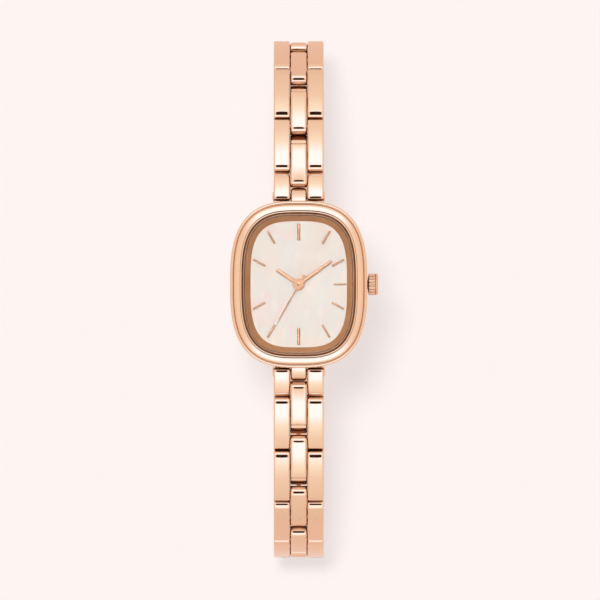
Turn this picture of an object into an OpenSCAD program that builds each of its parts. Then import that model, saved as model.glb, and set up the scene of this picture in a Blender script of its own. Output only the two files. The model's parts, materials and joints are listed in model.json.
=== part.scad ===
// Ladies' bracelet watch with a cushion-shaped case, lying closed on its clasp with the dial up.
// Millimetres. +Z is up, +Y points from the centre of the dial to 12 o'clock, +X to 3 o'clock.
// The origin is on the flat underside of the clasp, straight below the centre of the dial.

/* [Case] */
// Width of the case across 9 and 3 o'clock
case_w = 22; // [16:0.5:30]
// Length of the case across 12 and 6 o'clock
case_l = 26.75; // [20:0.25:36]
// Height of the case band
band_h = 4.2; // [3.8:0.1:6]
// Wall of the case band
band_wall = 2.35; // [2:0.05:3]
// Roundness of the case outline: 2 is an ellipse, larger is squarer
squareness = 2.83; // [2.4:0.01:3.6]
// Thickness of the case back
back_t = 0.7; // [0.5:0.1:1.2]
// Height of the lug pins above the underside of the case band
lug_rise = 2.4; // [1.6:0.1:3]

/* [Bezel and crystal] */
// Height of the bezel above the case band
bezel_h = 1.18; // [0.8:0.01:2]
// Width of the bezel
bezel_w = 2; // [1.2:0.05:2.1]
// Thickness of the crystal
crystal_t = 0.95; // [0.8:0.05:1.6]
// Thickness of the seal round the crystal
seal_t = 0.11; // [0.08:0.01:0.3]

/* [Dial and hands] */
// Inset of the visible dial from the outline of the case
dial_inset = 3.3; // [2.8:0.05:4]
// Thickness of the dial
dial_t = 0.4; // [0.3:0.05:0.6]
// Depth from the top of the case band to the dial
dial_drop = 1.2; // [1.15:0.05:1.8]
// Length of the hour hand
hour_hand_l = 4.27; // [3:0.01:5]
// Length of the minute hand
minute_hand_l = 6.5; // [4:0.05:7]
// Length of the second hand
second_hand_l = 7; // [4:0.05:7.2]
// Length of the second hand's tail
second_tail_l = 1.8; // [1:0.1:3]
// Width of the hour and minute hands
hand_w = 0.6; // [0.4:0.05:0.9]
// Thickness of a hand
hand_t = 0.12; // [0.08:0.01:0.2]
// Height of an hour marker
marker_h = 0.25; // [0.1:0.05:0.3]

/* [Crown] */
// Diameter of the crown
crown_d = 3.47; // [2.8:0.01:3.8]
// Length of the crown
crown_l = 1.62; // [1.2:0.02:2.4]
// Gap between the pushed-in crown and the case
crown_gap = 0.08; // [0.05:0.01:0.3]
// Number of flutes round the crown
crown_flutes = 18; // [12:1:30]
// Diameter of the stem
stem_d = 0.8; // [0.6:0.05:1]

/* [Bracelet] */
// Distance between the pins of one link
pitch = 9; // [8:0.1:11]
// Width of an outer link
outer_w = 2.55; // [2:0.05:3.5]
// Width of a centre link
center_w = 2.7; // [2.2:0.05:3.6]
// Thickness of the links
link_t = 1.9; // [1.6:0.1:2.4]
// How far the lug pins stand out beyond the ends of the case
lug_reach = 0.675; // [0.65:0.025:1.5]
// Distance between the two pins of an end link
end_pitch = 2.6; // [2.5:0.1:3.6]
// Slope of the end links below the horizontal
end_slope = 8; // [0:1:15]
// Diameter of the link pins
pin_d = 0.9; // [0.7:0.05:1]
// Diameter of the domed heads on the lug pins
pin_head_d = 1.6; // [1.2:0.1:1.8]
// How far a domed head stands out
pin_head_t = 0.22; // [0.1:0.02:0.4]

/* [Clasp] */
// Thickness of the clasp cover's side walls
cover_wall = 0.75; // [0.5:0.05:1]
// Thickness of the cover plate
cover_t = 0.8; // [0.6:0.05:1]
// Thickness of a folding leaf
leaf_t = 0.6; // [0.4:0.05:0.8]
// Diameter of the clasp's hinge pins
leaf_pin_d = 0.6; // [0.4:0.05:0.6]

/* [Movement] */
// Width of the main plate
plate_w = 13; // [11:0.5:13]
// Length of the main plate
plate_l = 16; // [14:0.5:16.5]
// Diameter of the button cell
cell_d = 4.8; // [4.2:0.1:5]
// Height of the button cell
cell_h = 1.6; // [1.2:0.1:1.65]

/* [Fits] */
// Radial clearance of a pin that turns in its hole
run_fit = 0.05; // [0.02:0.01:0.1]
// Radial clearance of a pin that is pressed in
press_fit = 0.01; // [0.005:0.005:0.02]
// Gap between pieces that sit inside one another
seat_gap = 0.05; // [0.03:0.01:0.08]

/* [Hidden] */
$fn = 48;
outline_steps = 64;
// Slope of each link below the horizontal, from the case round to the clasp
slopes_12 = [17, 30, 58, 98, 142, 172, 178];
slopes_6 = [17, 24, 45, 71, 122, 164, 177];
links = len(slopes_12);
link_r = link_t / 2;
// Gaps between neighbouring links, across and along the bracelet
side_gap = 0.1;
joint_gap = 0.55;
// Where the outer and centre links of one H start and end, from its first pin
outer_start = link_r + joint_gap;
center_end = pitch - link_r - 0.85;
cross_pin_y = pitch * 0.48;
// How far the step between two centre links lies below their tops
step_drop = 0.5;
bracelet_w = 2 * outer_w + center_w + 2 * side_gap;
outer_x = (center_w + outer_w) / 2 + side_gap;
pin_l = bracelet_w - 0.8;
// The lug pins stand this far from the case centre, and each lug nub wraps round its pin
lug_pin_y = case_l / 2 + lug_reach;
nub_r = 0.87;

// Place of pin k of a side, from the lug pin: k = 0 is the end link's outer pin
function first_pin() = [lug_pin_y + end_pitch * cos(end_slope), -end_pitch * sin(end_slope)];
function pin_at(slopes, k) = k == 0 ? first_pin()
    : pin_at(slopes, k - 1) + pitch * [cos(slopes[k - 1]), -sin(slopes[k - 1])];

// The clasp lies flat on the floor, so its pin sets the height of the lug pins
clasp_pin_z = link_r + 0.12;
lug_z = clasp_pin_z - pin_at(slopes_6, links)[1];
clasp_6 = [-pin_at(slopes_6, links)[0], clasp_pin_z];
clasp_12 = [pin_at(slopes_12, links)[0], pin_at(slopes_12, links)[1] + lug_z];

// Heights of the case, from the floor up
band_z = lug_z - lug_rise;
band_top = band_z + band_h;
back_z = band_z - back_t;
dial_top = band_top - dial_drop;
dial_z = dial_top - dial_t;
crown_z = dial_z - 0.55;
crown_x = case_w / 2 + crown_gap;
crown_travel = 0.9;

// Insets from the outline of the case: the crystal's edge, the cavity and what fills it
cavity_in = band_wall;
crystal_in = bezel_w + seal_t + 0.04;
ring_in = cavity_in + seat_gap;

// Heights of the hands above the dial
hour_z = dial_top + 0.3;
minute_z = hour_z + 0.24;
second_z = minute_z + 0.24;

// Half turns of the hands from 12 o'clock, clockwise
hour_turn = 303.5;
minute_turn = 54.3;
second_turn = 209.7;

// Movement levels: the plate under the dial, the train below it, then the bridge and the board
plate_t = 1;
plate_z = dial_z - plate_t;
bridge_t = 0.45;
bridge_top = plate_z - 0.95;
bridge_z = bridge_top - bridge_t;
board_t = 0.15;
board_z = bridge_z - board_t;
wheel_t = 0.14;

// Radii of the pipes and arbors at the centre of the movement
second_arbor_r = 0.13;
center_bore_r = second_arbor_r + run_fit;
center_pipe_r = 0.34;
hour_bore_r = center_pipe_r + run_fit;
hour_pipe_r = 0.58;
arbor_r = 0.12;

// Teeth of the going train, the motion work and the motor's reduction
center_teeth = 48;
third_pinion_teeth = 6;
third_teeth = 45;
second_pinion_teeth = 6;
second_teeth = 48;
step_pinion_teeth = 8;
step_teeth = 40;
rotor_teeth = 8;
cannon_teeth = 12;
minute_teeth = 36;
minute_pinion_teeth = 10;
hour_teeth = 40;

// Centre distances and the places of the arbors that they give
train_dist = 3.24;
step_dist = 3.08;
rotor_dist = 2.4;
motion_dist = 2.64;
third_pos = [0, train_dist];
step_pos = step_dist * [cos(200), sin(200)];
rotor_pos = step_pos + rotor_dist * [cos(150), sin(150)];
minute_pos = motion_dist * [cos(250), sin(250)];
cell_pos = [1, -(plate_l - cell_d) / 2 + 0.3];
coil_pos = [-4.9, 4.6];

// Outlines

// A power of a signed value, for the superellipse
function signed_pow(v, p) = sign(v) * pow(abs(v), p);

// The cushion outline of the case, drawn in by an inset; its corners tighten as it shrinks
function cushion(inset) = let (p = 2 / (squareness + 0.14 * inset))
    [for (i = [0:outline_steps - 1]) let (t = 360 * i / outline_steps)
        [(case_w / 2 - inset) * signed_pow(cos(t), p),
         (case_l / 2 - inset) * signed_pow(sin(t), p)]];

// An upright prism on the cushion outline
module cushion_block(inset, z, h) {
    translate([0, 0, z]) linear_extrude(h) polygon(cushion(inset));
}

// A closed ring swept round the cushion outline; its profile is a list of [inset, height]
module cushion_ring(profile) {
    m = len(profile);
    s = outline_steps;
    points = [for (p = profile) for (q = cushion(p[0])) [q[0], q[1], p[1]]];
    faces = [for (j = [0:m - 1]) for (i = [0:s - 1]) each
        [[j * s + i, j * s + (i + 1) % s, (j + 1) % m * s + (i + 1) % s],
         [j * s + i, (j + 1) % m * s + (i + 1) % s, (j + 1) % m * s + i]]];
    polyhedron(points, faces);
}

// A round bar along X
module x_bar(r, l) {
    rotate([0, 90, 0]) cylinder(r = r, h = l, center = true);
}

// A bar along Y with round ends, from y0 to y1, r thick each way from its middle plane
module y_bar(y0, y1, r, w) {
    translate([-w / 2, y0 + r, -r]) cube([w, y1 - y0 - 2 * r, 2 * r]);
    for (y = [y0 + r, y1 - r]) translate([0, y, 0]) x_bar(r, w);
}

// A straight-sided gear outline with low teeth and wide spaces, so that it runs with play
function gear_points(teeth, dist, mate, turn) =
    let (mod = 2 * dist / (teeth + mate), r = mod * teeth / 2, step = 360 / teeth)
    [for (i = [0:teeth - 1]) let (a = turn + i * step) each
        [for (c = [[-0.31, -0.9], [-0.1, 0.55], [0.1, 0.55], [0.31, -0.9]])
            (r + c[1] * mod) * [cos(a + c[0] * step), sin(a + c[0] * step)]]];

// A toothed wheel that meshes with a mate of the given teeth at the given distance
module gear(teeth, mate, dist, z, h, turn) {
    translate([0, 0, z]) linear_extrude(h) polygon(gear_points(teeth, dist, mate, turn));
}

// Turns a gear so that a tooth space faces its mate's tooth on the line at this angle
function space_at(angle, teeth) = angle + 180 + 180 / teeth;

// Case

module case_body() {
    color("#d9a58a") difference() {
        union() {
            cushion_block(0, band_z, band_h);
            for (m = [0, 1]) mirror([0, m, 0]) translate([0, 0, lug_z])
                y_bar(case_l / 2 - 1.4, lug_pin_y + nub_r, nub_r, center_w - 0.2);
            translate([case_w / 2 - 0.5, 0, crown_z]) x_bar(0.72, 1.6);
        }
        cushion_block(cavity_in, band_z - 1, band_h + 2);
        for (m = [0, 1]) mirror([0, m, 0]) translate([0, lug_pin_y, lug_z])
            x_bar(pin_d / 2 + run_fit, center_w + 2);
        translate([case_w / 2, 0, crown_z]) x_bar(stem_d / 2 + run_fit, 2 * band_wall + 4);
    }
}

module bezel() {
    z = band_top;
    color("#e3b193") cushion_ring([
        [0, z], [0, z + 0.25], [0.1, z + 0.34], [0.5, z + 0.38], [0.62, z + 0.32],
        [0.75, z + 0.72 * bezel_h], [1, z + 0.95 * bezel_h], [1.3, z + bezel_h],
        [1.65, z + 0.9 * bezel_h], [bezel_w, z + 0.72 * bezel_h], [bezel_w, z],
    ]);
}

module crystal() {
    color("#dfeaf0", 0.35) cushion_block(crystal_in, band_top, crystal_t);
}

module crystal_seal() {
    color("#4a3a34") difference() {
        cushion_block(bezel_w + 0.02, band_top, 0.6 * crystal_t);
        cushion_block(bezel_w + 0.02 + seal_t, band_top - 1, crystal_t + 2);
    }
}

module case_back() {
    color("#c99a80") cushion_block(0.6, back_z, back_t);
}

// Dial and hands

module dial_ring() {
    top = band_top - 0.05;
    color("#b9805c") cushion_ring([
        [ring_in, dial_top], [ring_in, top], [ring_in + 0.1, top],
        [dial_inset, dial_top + 0.05], [dial_inset, dial_top],
    ]);
}

module dial() {
    color("#f0e9e0") difference() {
        cushion_block(ring_in, dial_z, dial_t);
        translate([0, 0, dial_z - 1]) cylinder(r = hour_pipe_r + 0.15, h = dial_t + 2);
    }
}

// Distance from the centre to the edge of the visible dial, in a direction turned from 12 o'clock
function dial_edge(turn) = let (n = squareness + 0.14 * dial_inset)
    pow(pow(abs(sin(turn)) / (case_w / 2 - dial_inset), n)
        + pow(abs(cos(turn)) / (case_l / 2 - dial_inset), n), -1 / n);

// The four kinds of marker, at 12, 1, 2 and 3 o'clock: turn, gap to the dial's edge, length, width
marker_kinds = [[0, 0.375, 2.7, 0.5], [30.3, 0.6, 2.4, 0.36], [61.3, 0.35, 2.23, 0.36],
    [90, 0.1, 2.05, 0.3]];

module marker(kind) {
    tip = dial_edge(kind[0]) - kind[1];
    rotate([0, 0, -kind[0]]) translate([-kind[3] / 2, tip - kind[2], dial_top])
        cube([kind[3], kind[2], marker_h]);
}

module hour_markers() {
    color("#c98e6d") {
        for (m = [0, 1]) mirror([0, m, 0]) marker(marker_kinds[0]);
        for (m = [0, 1]) mirror([m, 0, 0]) marker(marker_kinds[3]);
        for (kind = [marker_kinds[1], marker_kinds[2]]) for (mx = [0, 1]) for (my = [0, 1])
            mirror([mx, 0, 0]) mirror([0, my, 0]) marker(kind);
    }
}

// A tapered hand with a round boss that is bored for its pipe
module hand(z, l, w_root, w_tip, boss_r, bore_r) {
    translate([0, 0, z]) difference() {
        union() {
            linear_extrude(hand_t) polygon([[-w_root / 2, 0], [w_root / 2, 0],
                [w_tip / 2, l - w_tip / 2], [0, l], [-w_tip / 2, l - w_tip / 2]]);
            cylinder(r = boss_r, h = hand_t);
        }
        translate([0, 0, -1]) cylinder(r = bore_r, h = 2);
    }
}

module hour_hand() {
    color("#c98e6d") rotate([0, 0, -hour_turn])
        hand(hour_z, hour_hand_l, hand_w, hand_w * 0.5, 0.97, hour_pipe_r + press_fit);
}

module minute_hand() {
    color("#c98e6d") rotate([0, 0, -minute_turn])
        hand(minute_z, minute_hand_l, hand_w, hand_w * 0.4, 0.8, center_pipe_r + press_fit);
}

module second_hand() {
    color("#c98e6d") rotate([0, 0, -second_turn]) {
        hand(second_z, second_hand_l, 0.22, 0.1, 0.6, second_arbor_r + press_fit);
        translate([0, 0, second_z]) difference() {
            linear_extrude(hand_t) polygon([[-0.1, -0.4], [0.1, -0.4],
                [0.26, -second_tail_l], [-0.26, -second_tail_l]]);
            translate([0, 0, -1]) cylinder(r = 0.4, h = 2);
        }
    }
}

// Crown and stem

module crown() {
    r = crown_d / 2;
    color("#e3b193") translate([crown_x, 0, crown_z]) rotate([0, 90, 0]) difference() {
        rotate_extrude() polygon([[stem_d / 2 - 0.05, 0.62], [0.72 + 0.12, 0.62], [0.72 + 0.12, 0],
            [r - 0.15, 0], [r, 0.15], [r, crown_l - 0.35], [r - 0.12, crown_l - 0.12],
            [r - 0.35, crown_l], [0, crown_l], [0, 1.2], [stem_d / 2 - 0.05, 1.2]]);
        for (i = [0:crown_flutes - 1]) rotate([0, 0, i * 360 / crown_flutes])
            translate([r + 0.06, 0, 0.1]) cylinder(r = 0.2, h = crown_l - 0.55);
    }
}

stem_in = 4;
groove_x = 5;

module stem() {
    color("#a9aaad") translate([0, 0, crown_z]) difference() {
        union() {
            translate([(plate_w / 2 + crown_x + 0.6) / 2, 0, 0])
                x_bar(stem_d / 2, crown_x + 0.6 - plate_w / 2);
            translate([(stem_in + plate_w / 2) / 2, 0, 0]) x_bar(0.3, plate_w / 2 - stem_in);
            translate([crown_x + 0.85, 0, 0]) x_bar(stem_d / 2 - 0.05 - press_fit, 0.6);
        }
        difference() {
            translate([groove_x, 0, 0]) x_bar(1, 0.3);
            translate([groove_x, 0, 0]) x_bar(0.18, 0.4);
        }
    }
}

// A fork in the stem's groove, which holds the stem and slides with it
module setting_lever() {
    color("#b5b6b8") translate([groove_x, 0, crown_z]) difference() {
        translate([-0.1, -0.75, -0.62]) cube([0.2, 1.5, 0.8]);
        x_bar(0.18 + run_fit, 1);
        translate([-1, -0.18 - run_fit, 0]) cube([2, 0.36 + 2 * run_fit, 2]);
    }
}

// Movement

module movement_holder() {
    color("#e8e6df") difference() {
        cushion_block(ring_in, bridge_z, dial_z - bridge_z);
        translate([-plate_w / 2 - seat_gap, -plate_l / 2 - seat_gap, bridge_z - 1])
            cube([plate_w + 2 * seat_gap, plate_l + 2 * seat_gap, dial_z - bridge_z + 2]);
        translate([(plate_w + case_w) / 4, 0, crown_z])
            x_bar(stem_d / 2 + 0.08, (case_w - plate_w) / 2 + 1);
    }
}

// A rectangle the size of the movement, t thick from z up
module movement_block(z, t) {
    translate([-plate_w / 2, -plate_l / 2, z]) cube([plate_w, plate_l, t]);
}

// Upright holes for arbors, through whatever they are taken from
module arbor_holes(places, r) {
    for (p = places) translate([p[0], p[1], board_z - 1]) cylinder(r = r, h = 6);
}

module main_plate() {
    recess_z = dial_z - 0.5;
    color("#c9b27a") {
        difference() {
            movement_block(plate_z, plate_t);
            translate([0, 0, recess_z]) cylinder(r = 2.5, h = 2);
            translate([minute_pos[0], minute_pos[1], recess_z]) cylinder(r = 2.3, h = 2);
            arbor_holes([[0, 0]], center_pipe_r + run_fit);
            for (p = [third_pos, step_pos, rotor_pos])
                translate([p[0], p[1], plate_z - 1]) cylinder(r = arbor_r + run_fit, h = 1.4);
            translate([plate_w / 2, 0, crown_z]) x_bar(0.3 + run_fit, 2 * (plate_w / 2 - stem_in + 0.1));
            translate([groove_x - 0.2, -0.85, plate_z - 1]) cube([crown_travel + 0.4, 1.7, 1.7]);
            translate([cell_pos[0], cell_pos[1], plate_z - 1])
                cylinder(r = cell_d / 2 + seat_gap, h = 1.3);
        }
        translate([minute_pos[0], minute_pos[1], recess_z]) cylinder(r = 0.15, h = 0.42);
    }
}

module train_bridge() {
    color("#c9c4ba") {
        difference() {
            movement_block(bridge_z, bridge_t);
            arbor_holes([[0, 0], third_pos, step_pos, rotor_pos], arbor_r + run_fit);
            translate([cell_pos[0], cell_pos[1], bridge_z - 1])
                cylinder(r = cell_d / 2 + seat_gap, h = 3);
            translate([coil_pos[0] - 1, coil_pos[1] - 2.5, bridge_z - 1]) cube([2, 5, 3]);
        }
        for (x = [-1, 1]) for (y = [-1, 1])
            translate([x * (plate_w / 2 - 0.8), y * (plate_l / 2 - 0.8), bridge_top])
                cylinder(r = 0.45, h = plate_z - bridge_top);
    }
}

module circuit_board() {
    color("#3f7d4e") translate([-plate_w / 2 + 0.3, -2.2, board_z])
        cube([plate_w - 0.6, plate_l / 2 + 1.9, board_t]);
}

module motor_coil() {
    z = bridge_top + 0.22;
    color("#b5703a") translate([coil_pos[0], coil_pos[1], z]) rotate([90, 0, 0]) difference() {
        cylinder(r = 0.62, h = 3.6, center = true);
        cylinder(r = 0.32, h = 5, center = true);
    }
    color("#9b9b9b") difference() {
        union() {
            translate([coil_pos[0], coil_pos[1], z]) rotate([90, 0, 0])
                cylinder(r = 0.3, h = 4.2, center = true);
            translate([-6.2, -1.2, bridge_top + 0.1]) cube([2.5, 3.9, 0.25]);
            translate([-5.2, coil_pos[1] + 2, bridge_top + 0.1]) cube([1.5, 0.5, 0.25]);
        }
        translate([rotor_pos[0], rotor_pos[1], bridge_top - 1]) cylinder(r = 0.75, h = 2);
    }
}

module battery() {
    color("#b9bbbd") translate([cell_pos[0], cell_pos[1], board_z + 0.1]) {
        cylinder(r = cell_d / 2, h = cell_h * 0.7);
        translate([0, 0, cell_h * 0.7]) cylinder(r = cell_d / 2 - 0.35, h = cell_h * 0.3);
    }
}

// An upright arbor with pivots in the bridge and in the plate
module arbor(p) {
    translate([p[0], p[1], bridge_top - 0.35])
        cylinder(r = arbor_r, h = plate_z - bridge_top + 0.65);
}

module rotor() {
    turn = space_at(150, rotor_teeth);
    color("#6f7175") {
        arbor(rotor_pos);
        translate([rotor_pos[0], rotor_pos[1], 0]) {
            translate([0, 0, bridge_top + 0.1]) cylinder(r = 0.6, h = 0.25);
            gear(rotor_teeth, step_teeth, rotor_dist, bridge_top + 0.38, 0.22, turn);
        }
    }
}

module step_wheel() {
    color("#c8a550") {
        arbor(step_pos);
        translate([step_pos[0], step_pos[1], 0]) {
            gear(step_pinion_teeth, second_teeth, step_dist, bridge_top + 0.1, 0.26,
                space_at(200, step_pinion_teeth));
            gear(step_teeth, rotor_teeth, rotor_dist, bridge_top + 0.42, wheel_t, 150);
        }
    }
}

module second_wheel() {
    color("#c8a550") {
        translate([0, 0, bridge_top - 0.35])
            cylinder(r = arbor_r, h = 0.45);
        translate([0, 0, bridge_top + 0.05])
            cylinder(r = second_arbor_r, h = second_z + hand_t - bridge_top - 0.05);
        gear(second_teeth, step_pinion_teeth, step_dist, bridge_top + 0.14, wheel_t, 200);
        gear(second_pinion_teeth, third_teeth, train_dist, bridge_top + 0.3, 0.26,
            space_at(270, second_pinion_teeth));
    }
}

module third_wheel() {
    color("#c8a550") {
        arbor(third_pos);
        translate([third_pos[0], third_pos[1], 0]) {
            gear(third_teeth, second_pinion_teeth, train_dist, bridge_top + 0.36, wheel_t, 270);
            gear(third_pinion_teeth, center_teeth, train_dist, bridge_top + 0.56, 0.3,
                space_at(90, third_pinion_teeth));
        }
    }
}

module center_wheel() {
    color("#c8a550") difference() {
        union() {
            gear(center_teeth, third_pinion_teeth, train_dist, bridge_top + 0.66, wheel_t, 90);
            translate([0, 0, bridge_top + 0.6])
                cylinder(r = center_pipe_r, h = minute_z + hand_t - bridge_top - 0.6);
            gear(cannon_teeth, minute_teeth, motion_dist, dial_z - 0.44, 0.2, 250);
        }
        translate([0, 0, bridge_top]) cylinder(r = center_bore_r, h = 6);
    }
}

module minute_wheel() {
    color("#c8a550") translate([minute_pos[0], minute_pos[1], 0]) difference() {
        union() {
            gear(minute_teeth, cannon_teeth, motion_dist, dial_z - 0.4, wheel_t,
                space_at(250, minute_teeth));
            gear(minute_pinion_teeth, hour_teeth, motion_dist, dial_z - 0.27, 0.22,
                space_at(250, minute_pinion_teeth));
        }
        translate([0, 0, dial_z - 1]) cylinder(r = 0.15 + run_fit, h = 2);
    }
}

module hour_wheel() {
    color("#c8a550") difference() {
        union() {
            gear(hour_teeth, minute_pinion_teeth, motion_dist, dial_z - 0.2, wheel_t, 250);
            translate([0, 0, dial_z - 0.2])
                cylinder(r = hour_pipe_r, h = hour_z + hand_t - dial_z + 0.2);
        }
        translate([0, 0, dial_z - 1]) cylinder(r = hour_bore_r, h = 4);
    }
}

// Bracelet

// Stands a link at pin k of a side, sloping down at that link's angle
module at_link(side, slopes, k) {
    p = pin_at(slopes, k - 1);
    mirror([0, side, 0]) translate([0, p[0], p[1] + lug_z]) rotate([-slopes[k - 1], 0, 0])
        children();
}

// The two outer links of one H, with the hinge pin that is pressed into their far ends.
// The last pair at 12 takes the clasp's spring bar instead.
module outer_links(side, slopes, k) {
    color("#e3b193") at_link(side, slopes, k) {
        difference() {
            for (x = [-outer_x, outer_x]) translate([x, 0, 0])
                y_bar(outer_start, pitch + link_r, link_r, outer_w);
            for (y = [cross_pin_y, pitch]) translate([0, y, 0])
                x_bar(pin_d / 2 + press_fit, pin_l + 0.1);
        }
        if (side == 1 || k < links) translate([0, pitch, 0]) x_bar(pin_d / 2, pin_l);
    }
}

// The centre link of one H, with the cross pin that holds its outer links. A step, set down below
// its top, reaches to the next centre link and closes the gap between the two.
module center_link(side, slopes, k) {
    color("#ebc0a4") at_link(side, slopes, k) {
        difference() {
            union() {
                y_bar(-link_r, center_end, link_r, center_w);
                translate([-center_w / 2, cross_pin_y, -0.5 * link_r])
                    cube([center_w, pitch - link_r - side_gap - cross_pin_y, 1.5 * link_r - step_drop]);
            }
            x_bar(pin_d / 2 + run_fit, center_w + 2);
            translate([0, cross_pin_y, 0]) x_bar(pin_d / 2 + press_fit, center_w + 2);
        }
        translate([0, cross_pin_y, 0]) x_bar(pin_d / 2, pin_l);
    }
}

// An end link: two domed side pieces on the lug pin, with the first hinge pin in their far ends
module end_link(side) {
    color("#e3b193") mirror([0, side, 0]) translate([0, lug_pin_y, lug_z])
        rotate([-end_slope, 0, 0]) {
            difference() {
                for (x = [-outer_x, outer_x]) translate([x, 0, 0])
                    y_bar(-0.5, end_pitch + link_r - 0.05, link_r, outer_w);
                x_bar(pin_d / 2 + press_fit, bracelet_w + 2);
                translate([0, end_pitch, 0]) x_bar(pin_d / 2 + press_fit, pin_l + 0.1);
            }
            x_bar(pin_d / 2, bracelet_w + 2 * press_fit + pin_head_t);
            for (m = [0, 1]) mirror([m, 0, 0])
                translate([bracelet_w / 2 + press_fit + pin_head_t / 2, 0, 0])
                    x_bar(pin_head_d / 2, pin_head_t);
            translate([0, end_pitch, 0]) x_bar(pin_d / 2, pin_l);
        }
}

// Clasp

// Heights of the folded leaves above the floor and the ends of the clasp
middle_z = cover_t + 0.15;
inner_z = middle_z + leaf_t + 0.3;
cover_w = bracelet_w;
leaf_w = cover_w - 2 * cover_wall - 0.7;
// The tongue that shows between the cover and the last link lets the leaves swing clear of it
tongue = 1.5;
cover_end = clasp_12[0] - link_r - tongue;
cover_start = clasp_6[0] + link_r + 0.5;
fold_r = 0.5;
// The hinge between the cover and the middle leaf, and the one between the two leaves
cover_hinge = [cover_end - fold_r - 0.15, middle_z + leaf_t / 2];
leaf_hinge = [cover_start + 1.6, (middle_z + inner_z + leaf_t) / 2];

module clasp_cover() {
    color("#ebc0a4") difference() {
        union() {
            translate([-cover_w / 2, cover_start, 0])
                cube([cover_w, cover_end - 2 * fold_r - 0.35 - cover_start, cover_t]);
            for (x = [-cover_w / 2, cover_w / 2 - cover_wall]) translate([x, cover_start, 0])
                cube([cover_wall, cover_hinge[0] + fold_r - cover_start, inner_z]);
            translate([0, 0, clasp_6[1]])
                y_bar(clasp_6[0] - link_r, cover_start + 1, link_r, center_w);
        }
        translate([0, clasp_6[0], clasp_6[1]]) x_bar(pin_d / 2 + run_fit, center_w + 2);
        translate([0, cover_hinge[0], cover_hinge[1]]) x_bar(leaf_pin_d / 2 + press_fit, cover_w - 0.4);
        translate([-center_w, cover_start + 0.35, cover_t]) cube([2 * center_w, 3, 3]);
    }
    color("#c7c7c7") translate([0, cover_hinge[0], cover_hinge[1]]) x_bar(leaf_pin_d / 2, cover_w - 0.5);
}

peg_y = 2;

module clasp_middle_leaf() {
    ear_w = 1.3;
    color("#cfa88f") difference() {
        union() {
            translate([-leaf_w / 2, leaf_hinge[0] + 0.7, middle_z])
                cube([leaf_w, cover_hinge[0] - leaf_hinge[0] - 0.7, leaf_t]);
            translate([0, cover_hinge[0], cover_hinge[1]]) x_bar(fold_r, leaf_w);
            for (x = [-leaf_w / 2, leaf_w / 2 - ear_w]) {
                translate([x, leaf_hinge[0], middle_z]) cube([ear_w, 1.5, leaf_t]);
                translate([x + ear_w / 2, leaf_hinge[0], leaf_hinge[1]])
                    x_bar(leaf_hinge[1] - middle_z, ear_w);
            }
        }
        translate([0, cover_hinge[0], cover_hinge[1]]) x_bar(leaf_pin_d / 2 + run_fit, leaf_w + 2);
        translate([0, leaf_hinge[0], leaf_hinge[1]]) x_bar(leaf_pin_d / 2 + press_fit, leaf_w - 0.4);
        translate([-0.8, peg_y - 2, 0]) cube([1.6, 4, 3]);
    }
    color("#c7c7c7") translate([0, leaf_hinge[0], leaf_hinge[1]]) x_bar(leaf_pin_d / 2, leaf_w - 0.5);
}

// The leaf next to the wrist; its far knuckle takes the spring bar of the last link at 12
module clasp_inner_leaf() {
    knuckle_w = leaf_w - 2 * 1.3 - 0.3;
    knuckle_r = leaf_hinge[1] - middle_z - 0.1;
    color("#cfa88f") difference() {
        union() {
            translate([-leaf_w / 2, leaf_hinge[0] + knuckle_r + 0.45, inner_z])
                cube([leaf_w, cover_end - leaf_hinge[0] - knuckle_r - 0.75, leaf_t]);
            translate([-knuckle_w / 2, leaf_hinge[0], inner_z]) cube([knuckle_w, 2, leaf_t]);
            translate([0, leaf_hinge[0], leaf_hinge[1]]) x_bar(knuckle_r, knuckle_w);
            translate([-center_w / 2, cover_end - 2, inner_z])
                cube([center_w, clasp_12[0] - cover_end + 2, leaf_t]);
            translate([0, clasp_12[0], clasp_12[1]]) x_bar(link_r, center_w);
            translate([0, peg_y, middle_z + 0.1]) cylinder(r = 0.5, h = inner_z - middle_z);
        }
        translate([0, leaf_hinge[0], leaf_hinge[1]]) x_bar(leaf_pin_d / 2 + run_fit, knuckle_w + 2);
        translate([0, clasp_12[0], clasp_12[1]]) x_bar(pin_d / 2 + press_fit, center_w + 2);
    }
    color("#c7c7c7") translate([0, clasp_12[0], clasp_12[1]]) x_bar(pin_d / 2, center_w - 0.1);
}

case_body();
bezel();
crystal();
crystal_seal();
dial_ring();
dial();
hour_markers();
hour_hand();
minute_hand();
second_hand();
movement_holder();
main_plate();
train_bridge();
circuit_board();
motor_coil();
battery();
rotor();
step_wheel();
second_wheel();
third_wheel();
center_wheel();
minute_wheel();
hour_wheel();
setting_lever();
stem();
crown();
case_back();
end_link(0);  // end_link_12
end_link(1);  // end_link_6
for (k = [1:links]) {
    outer_links(0, slopes_12, k);
    center_link(0, slopes_12, k);
    outer_links(1, slopes_6, k);
    center_link(1, slopes_6, k);
}
clasp_cover();
clasp_middle_leaf();
clasp_inner_leaf();
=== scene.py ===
"""A small bracelet watch in rose gold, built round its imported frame.

Lengths in the classes are millimetres, as a watchmaker writes them, and become metres when a mesh
is made. +Z is up out of the dial, +Y points to 12 o'clock and +X to 3 o'clock.
"""

from __future__ import annotations

import json
import logging
import math
from dataclasses import dataclass, field, replace
from enum import Enum
from typing import Any, Callable, Iterable, Sequence

import bmesh
import bpy
from mathutils import Matrix, Vector

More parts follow.
